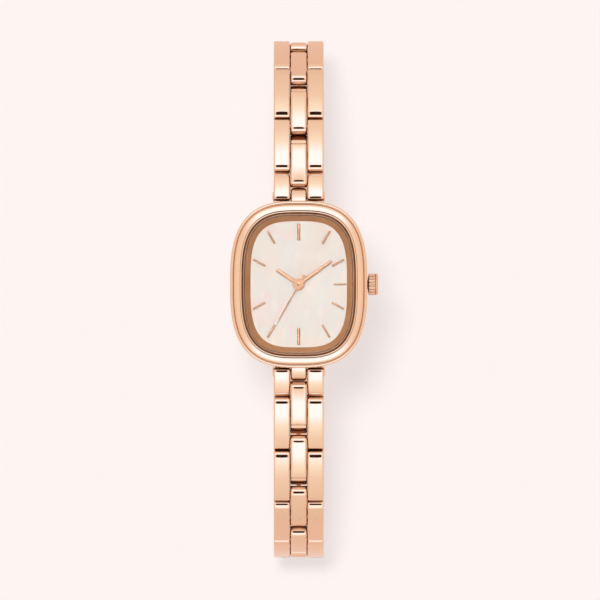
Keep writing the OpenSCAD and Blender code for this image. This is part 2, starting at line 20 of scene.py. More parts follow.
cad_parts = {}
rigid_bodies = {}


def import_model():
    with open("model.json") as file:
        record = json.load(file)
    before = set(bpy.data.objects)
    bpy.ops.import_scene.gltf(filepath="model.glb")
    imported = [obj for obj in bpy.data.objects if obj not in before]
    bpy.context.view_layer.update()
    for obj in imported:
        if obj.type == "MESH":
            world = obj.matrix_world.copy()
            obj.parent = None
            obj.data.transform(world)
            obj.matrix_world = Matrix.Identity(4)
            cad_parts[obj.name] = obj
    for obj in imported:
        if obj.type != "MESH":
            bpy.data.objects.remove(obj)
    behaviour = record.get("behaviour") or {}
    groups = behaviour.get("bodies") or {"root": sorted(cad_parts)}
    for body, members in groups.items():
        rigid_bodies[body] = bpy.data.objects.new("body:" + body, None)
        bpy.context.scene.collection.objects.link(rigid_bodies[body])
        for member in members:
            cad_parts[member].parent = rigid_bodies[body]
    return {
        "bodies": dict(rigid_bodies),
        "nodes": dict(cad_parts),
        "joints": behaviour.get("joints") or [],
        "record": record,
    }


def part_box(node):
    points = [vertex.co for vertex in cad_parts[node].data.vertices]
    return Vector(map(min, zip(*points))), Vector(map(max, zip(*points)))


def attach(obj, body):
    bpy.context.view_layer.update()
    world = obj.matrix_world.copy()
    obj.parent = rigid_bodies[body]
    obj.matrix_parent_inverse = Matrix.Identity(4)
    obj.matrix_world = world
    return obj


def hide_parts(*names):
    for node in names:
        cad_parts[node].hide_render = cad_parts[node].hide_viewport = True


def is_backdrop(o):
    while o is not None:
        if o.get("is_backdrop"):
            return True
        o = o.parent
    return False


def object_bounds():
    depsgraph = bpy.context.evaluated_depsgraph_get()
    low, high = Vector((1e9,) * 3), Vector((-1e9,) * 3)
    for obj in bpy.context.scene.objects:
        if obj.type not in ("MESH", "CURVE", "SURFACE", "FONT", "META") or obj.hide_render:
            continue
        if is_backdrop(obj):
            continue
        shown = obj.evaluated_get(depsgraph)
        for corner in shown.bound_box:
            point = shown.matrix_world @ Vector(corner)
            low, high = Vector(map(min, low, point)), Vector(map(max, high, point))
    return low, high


MM = 0.001
# A wave texture of scale 1 turns by this many radians in each metre
WAVE_TURN = 20
Colour = tuple[float, float, float, float]
Point = tuple[float, float, float]
log = logging.getLogger("watch")


def linear(code: str) -> Colour:
    """Turns an sRGB hex value into linear light.

    Args:
        code: The colour as "#rrggbb".

    Returns:
        Red, green, blue and an alpha of 1.
    """
    parts = [int(code[i : i + 2], 16) / 255 for i in (1, 3, 5)]
    light = [c / 12.92 if c <= 0.04045 else ((c + 0.055) / 1.055) ** 2.4 for c in parts]
    return (light[0], light[1], light[2], 1.0)


def add(tree: bpy.types.NodeTree, kind: str, wires: dict | None = None, **settings: Any) -> Any:
    """Adds one node, with its settings and what its inputs take.

    Args:
        tree: The shader or geometry tree that the node goes into.
        kind: The node's type name.
        wires: For each input, by name or number, a socket to link from or a plain value.
        **settings: The node's own properties.

    Returns:
        The new node.
    """
    node = tree.nodes.new(kind)
    for key, value in settings.items():
        setattr(node, key, value)
    for key, value in (wires or {}).items():
        if isinstance(value, bpy.types.NodeSocket):
            tree.links.new(value, node.inputs[key])
        else:
            node.inputs[key].default_value = value
    return node


def maths(tree: bpy.types.NodeTree, operation: str, *values: Any) -> Any:
    """Adds a Math node.

    Args:
        tree: The tree that the node goes into.
        operation: What it works out.
        *values: Its inputs, each a socket or a number.

    Returns:
        The socket with the result.
    """
    return add(tree, "ShaderNodeMath", dict(enumerate(values)), operation=operation).outputs[0]


def ramp(tree: bpy.types.NodeTree, mask: Any, marks: Sequence[tuple[float, Colour]]) -> Any:
    """Adds a colour ramp.

    Args:
        tree: The tree that the node goes into.
        mask: The socket that it reads.
        marks: The place and colour of each stop, in order.

    Returns:
        The socket with the colour.
    """
    node = add(tree, "ShaderNodeValToRGB", {"Fac": mask})
    band = node.color_ramp
    while len(band.elements) < len(marks):
        band.elements.new(1.0)
    for element, (place, colour) in zip(band.elements, marks):
        element.position = place
        element.color = colour
    return node.outputs["Color"]


def show(name: str, data: bpy.types.ID) -> bpy.types.Object:
    """Makes an object and links it to the scene.

    Args:
        name: The object's name.
        data: Its mesh, lamp or camera.

    Returns:
        The new object.
    """
    thing = bpy.data.objects.new(name, data)
    bpy.context.scene.collection.objects.link(thing)
    return thing


@dataclass
class Bench:
    """A material under construction."""

    tree: bpy.types.NodeTree
    shader: Any
    out: Any
    # The piece's own coordinates
    place: Any

    def stretch(self, scale: Point, turn: float = 0.0) -> Any:
        """Stretches the piece's coordinates.

        Args:
            scale: How many times closer a pattern's marks come, along each axis.
            turn: How far the pattern turns about Z, in radians.

        Returns:
            The socket with the new coordinates.
        """
        wires = {"Vector": self.place, "Scale": scale, "Rotation": (0.0, 0.0, turn)}
        return add(self.tree, "ShaderNodeMapping", wires).outputs[0]

    def noise(self, size: float, detail: float, place: Any = None, **more: float) -> Any:
        """Adds a noise texture.

        Args:
            size: The size of its patches in millimetres.
            detail: How many finer layers it has.
            place: Its coordinates, or nothing for the piece's own.
            **more: Values for its other inputs.

        Returns:
            The socket with the noise, 0 to 1.
        """
        at = self.place if place is None else place
        wires = {"Vector": at, "Scale": 1 / (size * MM), "Detail": detail, **more}
        return add(self.tree, "ShaderNodeTexNoise", wires).outputs["Fac"]

    def waves(self, size: float, wires: dict | None = None, **settings: str) -> Any:
        """Adds a wave texture.

        Args:
            size: The length in millimetres over which a wave turns by one radian.
            wires: Values for its other inputs.
            **settings: The node's own properties.

        Returns:
            The socket with the waves, 0 to 1.
        """
        base = {"Vector": self.place, "Scale": 1 / (size * MM * WAVE_TURN)}
        return add(self.tree, "ShaderNodeTexWave", {**base, **(wires or {})}, **settings).outputs["Fac"]

    def spread(
        self, mask: Any, low: float, high: float, ends: tuple[float, float] = (0.0, 1.0)
    ) -> Any:
        """Spreads a mask over a range of values.

        Args:
            mask: The socket that gives the mask.
            low: The value at the first end.
            high: The value at the second end.
            ends: The mask's values at which the two are reached.

        Returns:
            The socket with the value.
        """
        wires = {"Value": mask, "From Min": ends[0], "From Max": ends[1], "To Min": low, "To Max": high}
        return add(self.tree, "ShaderNodeMapRange", wires).outputs["Result"]

    def tint(self, mask: Any, marks: Iterable[tuple[float, str]]) -> None:
        """Drives the base colour from a mask.

        Args:
            mask: The socket that gives the mask.
            marks: Places on the mask and their shades as hex values, in order.
        """
        shade = ramp(self.tree, mask, [(place, linear(code)) for place, code in marks])
        self.tree.links.new(shade, self.shader.inputs["Base Color"])

    def roughen(self, value: Any) -> None:
        """Drives the roughness.

        Args:
            value: The socket that gives it.
        """
        self.tree.links.new(value, self.shader.inputs["Roughness"])

    def bump(self, height: Any, strength: float, depth: float) -> None:
        """Adds a bump of a real depth to the shader's normal.

        Args:
            height: The socket that gives the height, 0 to 1.
            strength: How much of the bump shows.
            depth: The height of the relief in millimetres.
        """
        wires = {"Height": height, "Strength": strength, "Distance": depth * MM}
        node = add(self.tree, "ShaderNodeBump", wires)
        self.tree.links.new(node.outputs["Normal"], self.shader.inputs["Normal"])


@dataclass(frozen=True)
class Finish:
    """A finish of the watch: typical values of the real material and how its surface was made."""

    name: str
    colour: str
    roughness: float
    metallic: float = 0.0
    slot: str = ""

    def make(self) -> bpy.types.Material:
        """Builds the material.

        Returns:
            The new material.
        """
        material = bpy.data.materials.new(self.name)
        material.use_nodes = True
        tree = material.node_tree
        tree.nodes.clear()
        wires = {"Base Color": linear(self.colour), "Metallic": self.metallic, "Roughness": self.roughness}
        shader = add(tree, "ShaderNodeBsdfPrincipled", wires)
        out = add(tree, "ShaderNodeOutputMaterial", {"Surface": shader.outputs[0]})
        self.work(Bench(tree, shader, out, add(tree, "ShaderNodeTexCoord").outputs["Object"]))
        return material

    def work(self, bench: Bench) -> None:
        """Adds what this kind of finish shows; each kind has its own.

        Args:
            bench: The material under construction.
        """


@dataclass(frozen=True)
class PolishedMetal(Finish):
    """Buffed and plated metal: a mirror with faint wiping marks that only soften the reflection.

    The buff doesn't reach the gaps between parts, which stay duller; there the base colour is also darkened,
    which is painted shade from an ambient-occlusion mask.
    """

    metallic: float = 1.0
    haze: float = 0.03
    # The size of the wiping marks
    wipe: float = 1.2
    # The painted shade (a darker base colour) and the roughness deep in a gap, and how far the
    # ambient-occlusion mask looks for a gap
    painted_gap_shade: str = "#8f5d3d"
    blank: float = 0.5
    reach: float = 1.5
    # The ambient-occlusion values at which the painted shade and the dullness are full, and at which they
    # end
    open: tuple[float, float] = (0.2, 0.62)

    def work(self, bench: Bench) -> None:
        """Adds painted shade and dullness in the gaps, a slow change of haze and very fine polishing lines.

        Args:
            bench: The material under construction.
        """
        wires = {"Distance": self.reach * MM}
        gaps = add(bench.tree, "ShaderNodeAmbientOcclusion", wires, samples=6).outputs["AO"]
        # The base colour darkens where the mask finds a gap: painted shade
        bench.tint(gaps, zip(self.open, (self.painted_gap_shade, self.colour)))
        shine = bench.spread(bench.noise(self.wipe, 2.0), self.roughness, self.roughness + self.haze)
        dull = bench.spread(gaps, self.blank, 0.0, self.open)
        bench.roughen(maths(bench.tree, "MAXIMUM", shine, dull))
        # The polishing lines are drawn coarser than real
        bench.bump(bench.noise(0.25, 1.0, bench.stretch((1.0, 0.06, 1.0), 0.5)), 0.02, 0.002)


@dataclass(frozen=True)
class SatinMetal(Finish):
    """Metal drawn along a fine abrasive belt: long parallel scratches along the bracelet."""

    metallic: float = 1.0
    line: float = 0.06

    def work(self, bench: Bench) -> None:
        """Adds brushed lines along Y, in the roughness and as a shallow relief.

        Args:
            bench: The material under construction.
        """
        grain = bench.noise(self.line, 3.0, bench.stretch((1.0, 0.02, 1.0)), Roughness=0.7)
        bench.roughen(bench.spread(grain, self.roughness - 0.08, self.roughness + 0.1))
        bench.bump(grain, 0.25, 0.004)


@dataclass(frozen=True)
class TurnedMetal(Finish):
    """Metal cut in a lathe or grained with a turning peg: fine arcs and small shifts of tone."""

    metallic: float = 1.0
    line: float = 0.08
    dark: str = "#000000"

    def work(self, bench: Bench) -> None:
        """Adds rings about the upright axis and a mottle between the finish's two shades.

        Args:
            bench: The material under construction.
        """
        uneven = {"Distortion": 0.6, "Detail": 1.0}
        rings = bench.waves(self.line, uneven, wave_type="RINGS", rings_direction="Z")
        bench.tint(bench.noise(1.5, 4.0), [(0.25, self.dark), (0.65, self.colour)])
        bench.roughen(bench.spread(rings, self.roughness - 0.06, self.roughness + 0.08))
        bench.bump(rings, 0.15, 0.003)


@dataclass(frozen=True)
class Pearl(Finish):
    """Polished shell: slow clouds of cream, pink and green under a clear, hard gloss."""

    clouds: tuple[tuple[float, str], ...] = (
        (0.28, "#eddfd4"),
        (0.42, "#f0e5da"),
        (0.52, "#ebe7df"),
        (0.62, "#f1e0da"),
        (0.75, "#f2e8e0"),
    )

    def work(self, bench: Bench) -> None:
        """Adds the layered clouds of the shell, which follow no edge of the dial.

        Args:
            bench: The material under construction.
        """
        tilted = bench.stretch((1.0, 0.55, 1.0), 0.6)
        bench.tint(bench.noise(7.0, 3.0, tilted, Distortion=1.2), self.clouds)
        bench.roughen(bench.spread(bench.noise(1.6, 5.0, tilted), self.roughness, self.roughness + 0.15))
        bench.shader.inputs["Coat Weight"].default_value = 0.3
        bench.shader.inputs["Coat Roughness"].default_value = 0.05
        bench.shader.inputs["Sheen Weight"].default_value = 0.1


@dataclass(frozen=True)
class ClearGlass(Finish):
    """Hardened mineral glass: clear, lit through, with only its polished surface to see."""

    ior: float = 1.52

    def work(self, bench: Bench) -> None:
        """Lets lamp and diffuse light through, so that the dial under it is lit.

        Args:
            bench: The material under construction.
        """
        bench.shader.inputs["Transmission Weight"].default_value = 1.0
        bench.shader.inputs["IOR"].default_value = self.ior
        bench.roughen(bench.spread(bench.noise(4.0, 2.0), 0.0, self.roughness))
        path = add(bench.tree, "ShaderNodeLightPath").outputs
        lit = maths(bench.tree, "MAXIMUM", path["Is Shadow Ray"], path["Is Diffuse Ray"])
        clear = add(bench.tree, "ShaderNodeBsdfTransparent").outputs[0]
        mix = add(bench.tree, "ShaderNodeMixShader", {0: lit, 1: bench.shader.outputs[0], 2: clear})
        bench.tree.links.new(mix.outputs[0], bench.out.inputs["Surface"])


@dataclass(frozen=True)
class Moulded(Finish):
    """Moulded, pressed or lacquered surfaces: a fine eroded grain and a soft, uneven sheen."""

    grain: float = 0.12
    depth: float = 0.01
    dark: str = "#000000"

    def work(self, bench: Bench) -> None:
        """Adds the grain as relief and a slight mottle of the colour.

        Args:
            bench: The material under construction.
        """
        grain = bench.noise(self.grain, 3.0)
        bench.tint(bench.noise(3.0, 2.0), [(0.3, self.dark), (0.6, self.colour)])
        bench.roughen(bench.spread(grain, self.roughness - 0.08, self.roughness + 0.08))
        bench.bump(grain, 0.3, self.depth)


@dataclass(frozen=True)
class Laminate(Finish):
    """Glass-cloth circuit board: a woven ground under green lacquer."""

    thread: float = 0.3
    dark: str = "#2b5c3a"

    def work(self, bench: Bench) -> None:
        """Adds the two directions of the cloth's threads.

        Args:
            bench: The material under construction.
        """
        threads = [bench.waves(self.thread, {"Distortion": 0.3}, bands_direction=way) for way in "XY"]
        weave = maths(bench.tree, "MULTIPLY", *threads)
        bench.tint(weave, [(0.0, self.dark), (0.7, self.colour)])
        bench.bump(weave, 0.3, 0.01)


@dataclass(frozen=True)
class Winding(Finish):
    """Enamelled copper wire wound along Y: fine turns that catch the light one by one."""

    metallic: float = 1.0
    wire: float = 0.09
    dark: str = "#7c3f1d"

    def work(self, bench: Bench) -> None:
        """Adds a ridge for each turn of wire, drawn coarser than the real wire so that it shows.

        Args:
            bench: The material under construction.
        """
        turns = bench.waves(self.wire, bands_direction="Y")
        bench.tint(turns, [(0.0, self.dark), (0.8, self.colour)])
        bench.bump(turns, 0.6, 0.02)


FINISHES = (
    # Stainless steel, buffed and ion-plated rose gold: a warm mirror, with painted shade darkening its gaps
    PolishedMetal("polished_rose_gold_steel", "#ebbfa0", 0.06, slot="rose_gold_steel"),
    # The same on the bezel, with a lighter painted shade that reaches only a short way into the groove
    # beside it, and no dulling there
    PolishedMetal(
        "polished_rose_gold_bezel",
        "#ebbfa0",
        0.06,
        slot="rose_gold_steel",
        painted_gap_shade="#b98a68",
        blank=0.0,
        reach=0.6,
    ),
    # The same plating over belt-brushed steel: a softer, streaked shine
    SatinMetal("brushed_rose_gold_steel", "#dcb096", 0.3, slot="satin_rose_gold_steel"),
    # The crown's ribs are cut and then only tumbled, so they shine less; painted shade darkens the gaps
    # between them
    PolishedMetal("tumbled_rose_gold_steel", "#e7b28e", 0.3, haze=0.06, slot="rose_gold_steel"),
    # Stamped and plated brass of the hands and markers: bright, a little softer than the case, with a darker
    # painted shade where they meet the dial
    PolishedMetal(
        "plated_brass_hands",
        "#b58b70",
        0.34,
        slot="rose_gold_brass",
        haze=0.08,
        wipe=0.6,
        painted_gap_shade="#6e4a34",
        reach=0.3,
    ),
    # Turned brass ring under copper-coloured lacquer: a soft sheen, its colour warms the dial's rim
    Moulded("copper_lacquered_brass", "#c58c5e", 0.36, dark="#bb8152", depth=0.002, slot="copper_lacquer"),
    Pearl("polished_mother_of_pearl", "#f2ece4", 0.18, slot="mother_of_pearl"),
    ClearGlass("hardened_mineral_glass", "#ffffff", 0.02, slot="mineral_glass"),
    # Nitrile seal: a dull, warm brown
    Moulded("nitrile_seal", "#a5673c", 0.6, dark="#8d5631", slot="seal_rubber"),
    # White acetal movement ring: waxy, with the mould's fine grain
    Moulded("moulded_acetal", "#eceae3", 0.45, dark="#e0ddd3", slot="holder_plastic"),
    Laminate("green_board_laminate", "#4c8a58", 0.35, slot="board_laminate"),
    Winding("enamelled_copper_wire", "#c87a45", 0.25, slot="copper_wire"),
    TurnedMetal("machined_brass", "#dcbc74", 0.28, dark="#b8934a", slot="brass"),
    TurnedMetal("nickel_plated_brass", "#cfcbc2", 0.25, dark="#aaa59a", slot="nickel_plate"),
    TurnedMetal("pressed_stainless_cell", "#c9cbce", 0.25, dark="#a4a7ab", slot="cell_steel"),
    SatinMetal("ground_tool_steel", "#a9abae", 0.25, slot="tool_steel"),
)


class Wardrobe:
    """The finishes, made once and handed out by material slot."""

    made: dict[str, bpy.types.Material] = {}

    @classmethod
    def finish(cls, slot: str, look: str = "") -> bpy.types.Material:
        """Gives the material of a slot, and makes it the first time.

        Args:
            slot: The record's material slot.
            look: The name of one of its finishes, or nothing for the first.

        Returns:
            The material.
        """
        found = next(f for f in FINISHES if f.slot == slot and look in ("", f.name))
        if found.name not in cls.made:
            cls.made[found.name] = found.make()
        return cls.made[found.name]

    @classmethod
    def dress(cls, frame: dict) -> None:
        """Gives every CAD node the finish of its slot.
        """
        for part in frame["record"]["subparts"]:
            data = frame["nodes"][part["node"]].data
            data.materials.clear()
            data.materials.append(cls.finish(part["material_slot"]))
            log.info("%s is dressed as %s", part["node"], part["material_slot"])


def enrol(
    name: str,
    data: bpy.types.Mesh,
    body: str,
    nodes: Iterable[str],
    slot: str,
    crease: float = 35.0,
    look: str = "",
) -> None:
    """Makes a piece of a finished mesh, rides it on its body and gives it its finish.

    Args:
        name: The piece's name.
        data: Its mesh, in metres.
        body: The body that it moves with.
        nodes: The CAD nodes that it stands for.
        slot: The record's material slot, which names the finish.
        crease: Edges sharper than this many degrees stay sharp.
        look: The name of a finish of that slot, where the first isn't meant.
    """
    data.shade_smooth()
    data.set_sharp_from_angle(angle=math.radians(crease))
    data.materials.clear()
    data.materials.append(Wardrobe.finish(slot, look))
    piece = show(name, data)
    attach(piece, body)
    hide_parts(*nodes)
    log.info("%s: %d faces on %s", name, len(data.polygons), body)


class Shell:
    """Closed surfaces, gathered in millimetres, that together become one piece."""

    # Points closer than this, in millimetres, are one
    MERGE = 1e-5

    def __init__(self) -> None:
        """Starts with nothing in it."""
        self.mesh = bmesh.new()

    def loft(self, rings: Sequence[Sequence[Point]], around: bool = False) -> Shell:
        """Joins rings of equally many points into a closed surface.

        Args:
            rings: The rings, in order along the surface.
            around: True where the last ring joins the first, as round a frame. Otherwise a flat
                face closes each end.

        Returns:
            This shell, so that calls can follow each other.
        """
        rows = [[self.mesh.verts.new(p) for p in ring] for ring in rings]
        count = len(rows[0])
        for a, b in zip(rows, rows[1:] + rows[:1] if around else rows[1:]):
            for i in range(count):
                j = (i + 1) % count
                self.mesh.faces.new((a[i], a[j], b[j], b[i]))
        if not around:
            self.mesh.faces.new(rows[0])
            self.mesh.faces.new(rows[-1])
        return self

    def turn(
        self, profile: Sequence[tuple[float, float]], place: Matrix, steps: int = 48, around: bool = False
    ) -> Shell:
        """Spins a profile of radius and height about its axis.

        Args:
            profile: Radius and height of each point, from one end of the axis to the other.
            place: Where the axis goes; the profile's height runs along its Z.
            steps: The number of sides.
            around: True where the last point of the profile joins the first.

        Returns:
            This shell.
        """
        angles = [math.tau * i / steps for i in range(steps)]
        rings = [[place @ Vector((r * math.cos(a), r * math.sin(a), h)) for a in angles] for r, h in profile]
        return self.loft(rings, around)

    def take(self, mesh: bpy.types.Mesh) -> Shell:
        """Adds a finished mesh, and removes it.

        Args:
            mesh: The mesh, in metres.

        Returns:
            This shell.
        """
        before = len(self.mesh.verts)
        self.mesh.from_mesh(mesh)
        self.mesh.verts.ensure_lookup_table()
        for v in self.mesh.verts[before:]:
            v.co *= 1 / MM
        bpy.data.meshes.remove(mesh)
        return self

    def settle(self, name: str) -> bpy.types.Mesh:
        """Turns the faces outward and makes the mesh, in metres. The shell ends here.

        Args:
            name: The mesh's name.

        Returns:
            The mesh.
        """
        bmesh.ops.recalc_face_normals(self.mesh, faces=self.mesh.faces)
        bmesh.ops.scale(self.mesh, vec=(MM, MM, MM), verts=self.mesh.verts)
        data = bpy.data.meshes.new(name)
        self.mesh.to_mesh(data)
        self.mesh.free()
        return data

    def piece(
        self, name: str, body: str, node: str, slot: str, crease: float = 35.0, look: str = ""
    ) -> None:
        """Merges the surfaces and makes the piece; see enrol().

        Args:
            name: The piece's name.
            body: The body that it moves with.
            node: The CAD node that it stands for.
            slot: The record's material slot.
            crease: Edges sharper than this many degrees stay sharp.
            look: The name of a finish of that slot, where the first isn't meant.
        """
        bmesh.ops.remove_doubles(self.mesh, verts=self.mesh.verts, dist=self.MERGE)
        enrol(name, self.settle(name), body, [node], slot, crease, look)


class Recipe:
    """A Geometry Nodes tree with named inputs, which is run to give a plain mesh."""

    GEOMETRY = "geometry"
    KINDS = {
        str: "NodeSocketGeometry",
        float: "NodeSocketFloat",
        int: "NodeSocketInt",
        tuple: "NodeSocketVector",
        bpy.types.Material: "NodeSocketMaterial",
    }

    def __init__(self, name: str, inputs: dict[str, Any]) -> None:
        """Makes the tree and its inputs.

        Args:
            name: The tree's name.
            inputs: Each input's name and the value that it starts from.
        """
        self.tree = bpy.data.node_groups.new(name, "GeometryNodeTree")
        self.keys: dict[str, str] = {}
        self.defaults = inputs
        for label, value in inputs.items():
            kind = self.KINDS[bpy.types.Material if value is None else type(value)]
            socket = self.tree.interface.new_socket(name=label, in_out="INPUT", socket_type=kind)
            self.keys[label] = socket.identifier
            if value not in (None, self.GEOMETRY):
                socket.default_value = value
        self.tree.interface.new_socket(name="Geometry", in_out="OUTPUT", socket_type="NodeSocketGeometry")
        self.inlet = self.tree.nodes.new("NodeGroupInput")

    def add(self, kind: str, wires: dict | None = None, **settings: Any) -> Any:
        """Adds a node to this tree, as add() does.

        Args:
            kind: The node's type name.
            wires: For each input a socket or a plain value.
            **settings: The node's own properties.

        Returns:
            The socket of its first output.
        """
        return add(self.tree, kind, wires, **settings).outputs[0]

    def get(self, label: str) -> Any:
        """Gives the socket of a named input.

        Args:
            label: The input's name.

        Returns:
            The socket.
        """
        return self.inlet.outputs[label]

    def maths(self, operation: str, *values: Any) -> Any:
        """Adds a Math node to this tree, as maths() does.

        Args:
            operation: What it works out.
            *values: Its inputs, each a socket or a number.

        Returns:
            The socket with the result.
        """
        return maths(self.tree, operation, *values)

    def vector(self, operation: str, *values: Any) -> Any:
        """Adds a Vector Math node.

        Args:
            operation: What it works out.
            *values: Its inputs, each a socket or a vector.

        Returns:
            The socket with the vector.
        """
        return self.add("ShaderNodeVectorMath", dict(enumerate(values)), operation=operation)

    def join(self, **parts: Any) -> Any:
        """Joins numbers into a vector.

        Args:
            **parts: X, Y and Z, each a socket or a number. The ones left out are 0.

        Returns:
            The socket with the vector.
        """
        return self.add("ShaderNodeCombineXYZ", parts)

    def split(self, vector: Any) -> Any:
        """Splits a vector into its numbers.

        Args:
            vector: The socket with the vector.

        Returns:
            The three sockets, by number or by X, Y and Z.
        """
        return add(self.tree, "ShaderNodeSeparateXYZ", {0: vector}).outputs

    def close(self, geometry: Any) -> Recipe:
        """Ends the tree, with real geometry and the material where it has one.

        Args:
            geometry: The socket with the finished shape.

        Returns:
            This recipe.
        """
        if "Material" in self.defaults:
            real = self.add("GeometryNodeRealizeInstances", {0: geometry})
            wires = {"Geometry": real, "Material": self.get("Material")}
            geometry = self.add("GeometryNodeSetMaterial", wires)
        add(self.tree, "NodeGroupOutput", {"Geometry": geometry})
        return self

    def run(self, base: bpy.types.Mesh | None = None, **values: Any) -> bpy.types.Mesh:
        """Runs the tree once.

        Args:
            base: The mesh that the tree starts from, where it takes one. It is removed.
            **values: Inputs by name. The rest keep their defaults.

        Returns:
            The result as a plain mesh.
        """
        holder = show("recipe_holder", base or bpy.data.meshes.new("recipe_holder"))
        modifier = holder.modifiers.new("recipe", "NODES")
        modifier.node_group = self.tree
        for label, value in {**self.defaults, **values}.items():
            if value not in (None, self.GEOMETRY):
                modifier[self.keys[label]] = value
        result = bpy.data.meshes.new_from_object(holder.evaluated_get(bpy.context.evaluated_depsgraph_get()))
        holder.modifiers.remove(modifier)
        blank = holder.data
        bpy.data.objects.remove(holder)
        bpy.data.meshes.remove(blank)
        return result


class Side(Enum):
    """The two halves of the bracelet, named for the hour that they leave the case at."""

    TWELVE = 12
    SIX = 6

    @property
    def sign(self) -> int:
        """Gives 1 towards 12 o'clock and -1 towards 6."""
        return 1 if self is Side.TWELVE else -1

    @property
    def turn(self) -> float:
        """Gives the turn about Z that brings a link drawn towards +Y to its side."""
        return 0.0 if self is Side.TWELVE else math.pi


def rounding(gap: float, radius: float, depth: float) -> float:
    """Gives how far a quarter of an ellipse falls away near an end.

    Args:
        gap: The distance to the end.
        radius: How long the quarter is.
        depth: How far it falls in all.

    Returns:
        The fall, 0 where the quarter hasn't begun.
    """
    if gap >= radius:
        return 0.0
    return depth * (1 - math.sqrt(max(0.0, 1 - (1 - gap / radius) ** 2)))


@dataclass(frozen=True)
class Bar:
    """One bar of the bracelet, drawn from its pin along +Y.

    It has a flat top with a polished facet and a rim at the end near the case, rounded sides and a
    rounded far end.
    """

    width: float
    near: float
    far: float
    top: float = 0.95
    bottom: float = -0.95
    # Radii of the upper and of the lower edges
    side: float = 0.28
    under: float = 0.15
    crown: float = 0.015
    # How deep the facet at the end near the case starts, and how steeply it rises to the top
    facet: tuple[float, float] = (0.14, 0.33)
    # The rounded chin before the facet, along the bar and down, and how far round it already is there
    chin: tuple[float, float] = (0.45, 0.62)
    lean: float = 0.32
    # Radii of the far end along the bar and down, and of the corners seen from above
    nose: tuple[float, float] = (0.35, 0.35)
    corners: tuple[float, float] = (0.12, 0.3)
    # How far the underside rises at the near and at the far end, where an end turns in a gap
    heel: tuple[float, float] = (0.0, 0.0)
    # The last stretch before the far end, which falls in a straight line: its length and its fall
    ramp: tuple[float, float] = (0.0, 0.0)

    def lift(self, y: float) -> float:
        """Gives how far the underside lies above its lowest line.

        Args:
            y: The place along the bar.

        Returns:
            The height.
        """
        near = rounding(y - self.near, self.chin[0], self.heel[0])
        return max(near, rounding(self.far - y, self.nose[0], self.heel[1]))

    def drop(self, y: float, x: float) -> float:
        """Gives how far the top lies below its highest line.

        Args:
            y: The place along the bar.
            x: The place across it, from -1 to 1.

        Returns:
            The depth.
        """
        n, f = y - self.near, self.far - y
        deep, rise = self.facet
        wide, fall = self.chin
        if n < wide:
            # The quarter of an ellipse, less the flat start that the facet takes the place of
            lost = 1 - math.sqrt(1 - self.lean**2)
            t = self.lean + (1 - self.lean) * (1 - n / wide)
            near = deep + fall * (1 - math.sqrt(max(0.0, 1 - t * t)) - lost) / (1 - lost)
        else:
            near = deep - (n - wide) * rise
        length, deep = self.ramp
        slide = deep * (1 - f / length) if f < length else 0.0
        return max(near, rounding(f, *self.nose), slide, self.crown * x * x)

    def pinch(self, y: float) -> float:
        """Gives how far the sides draw in for the rounded corners.

        Args:
            y: The place along the bar.

        Returns:
            The distance on each side.
        """
        near, far = self.corners
        return max(rounding(y - self.near, near, near), rounding(self.far - y, far, far))

    def stations(self) -> list[float]:
        """Gives the places of the cross-sections, close together where the shape changes.

        Returns:
            The places along the bar, in order.
        """
        deep, rise = self.facet
        wide = self.chin[0]
        reach = deep / rise + 0.1
        near = [wide * share for share in (0.0, 0.02, 0.07, 0.15, 0.28, 0.42, 0.57, 0.72, 0.87, 1.0)]
        near += [wide + reach * i / 10 for i in range(1, 11)]
        far = (0.0, 0.02, 0.06, 0.12, 0.2, 0.3, 0.45, 0.65)
        span = max(self.nose[0], self.corners[1]) / far[-1]
        starts = [self.near + n for n in near]
        ends = [self.far - span * f for f in far]
        gap = min(ends) - max(starts)
        # A short bar needs no sections between its two ends
        middle = [max(starts) + gap * i / 8 for i in range(1, 8)] if gap > 0.3 else []
        return sorted({round(y, 5) for y in [*starts, *middle, *ends] if self.near <= y <= self.far})

    def section(self, y: float) -> list[Point]:
        """Gives the cross-section at one place.

        Args:
            y: The place along the bar.

        Returns:
            The points round it, from the lower edge on the right over the top to the left.
        """
        edge, base = self.top - self.drop(y, 1.0), self.bottom + self.lift(y)
        r, low = min(self.side, (edge - base) / 2), min(self.under, (edge - base) / 4)
        half = self.width / 2 - self.pinch(y)
        flat = half - r
        # The lower edge, the upper edge and then the top as far as its middle
        ring = [(half - low + low * math.cos(a), base + low - low * math.sin(a)) for a in (1.57, 0.79, 0.0)]
        bends = [math.radians(d) for d in (0, 18, 36, 54, 72)]
        ring += [(flat + r * math.cos(a), edge - r + r * math.sin(a)) for a in bends]
        ring += [(flat * x, self.top - self.drop(y, x)) for x in (1.0, 0.75, 0.5, 0.25, 0.0)]
        mirrored = [(-x, z) for x, z in reversed(ring[:-1])]
        return [(x, y, z) for x, z in [*ring, *mirrored]]

    def mesh(self) -> bpy.types.Mesh:
        """Lofts the bar.

        Returns:
            Its mesh, in metres.
        """
        return Shell().loft([self.section(y) for y in self.stations()]).settle("bar")


OUTER_W = 2.6
CENTRE_W = 2.74
# Values of a bar that is plain at that end, with neither a facet nor a rounding to see
NO_FACET = (0.0, 1.0)
BLUNT = (0.1, 0.1)
# The nub on the case; the frame gives its height
NUB = Bar(
    2.5, -2.2, 1.42, facet=NO_FACET, chin=BLUNT, nose=(0.55, 0.75), corners=(0.1, 0.5), heel=(0.0, 0.75)
)
END_BAR = Bar(
    OUTER_W,
    -0.66,
    3.72,
    facet=(0.1, 0.32),
    chin=(0.2, 0.4),
    nose=(0.5, 0.5),
    corners=(0.25, 0.6),
    heel=(0.0, 0.5),
)
OUTER_BAR = Bar(
    OUTER_W,
    1.4,
    10.2,
    side=0.27,
    facet=(0.07, 0.33),
    chin=(0.6, 0.6),
    nose=(0.35, 0.45),
    heel=(0.0, 0.45),
)
# The outer bar beside the clasp, whose far end is fully round
LAST_BAR = replace(OUTER_BAR, far=9.95, nose=(0.92, 0.92), heel=(0.0, 0.92))
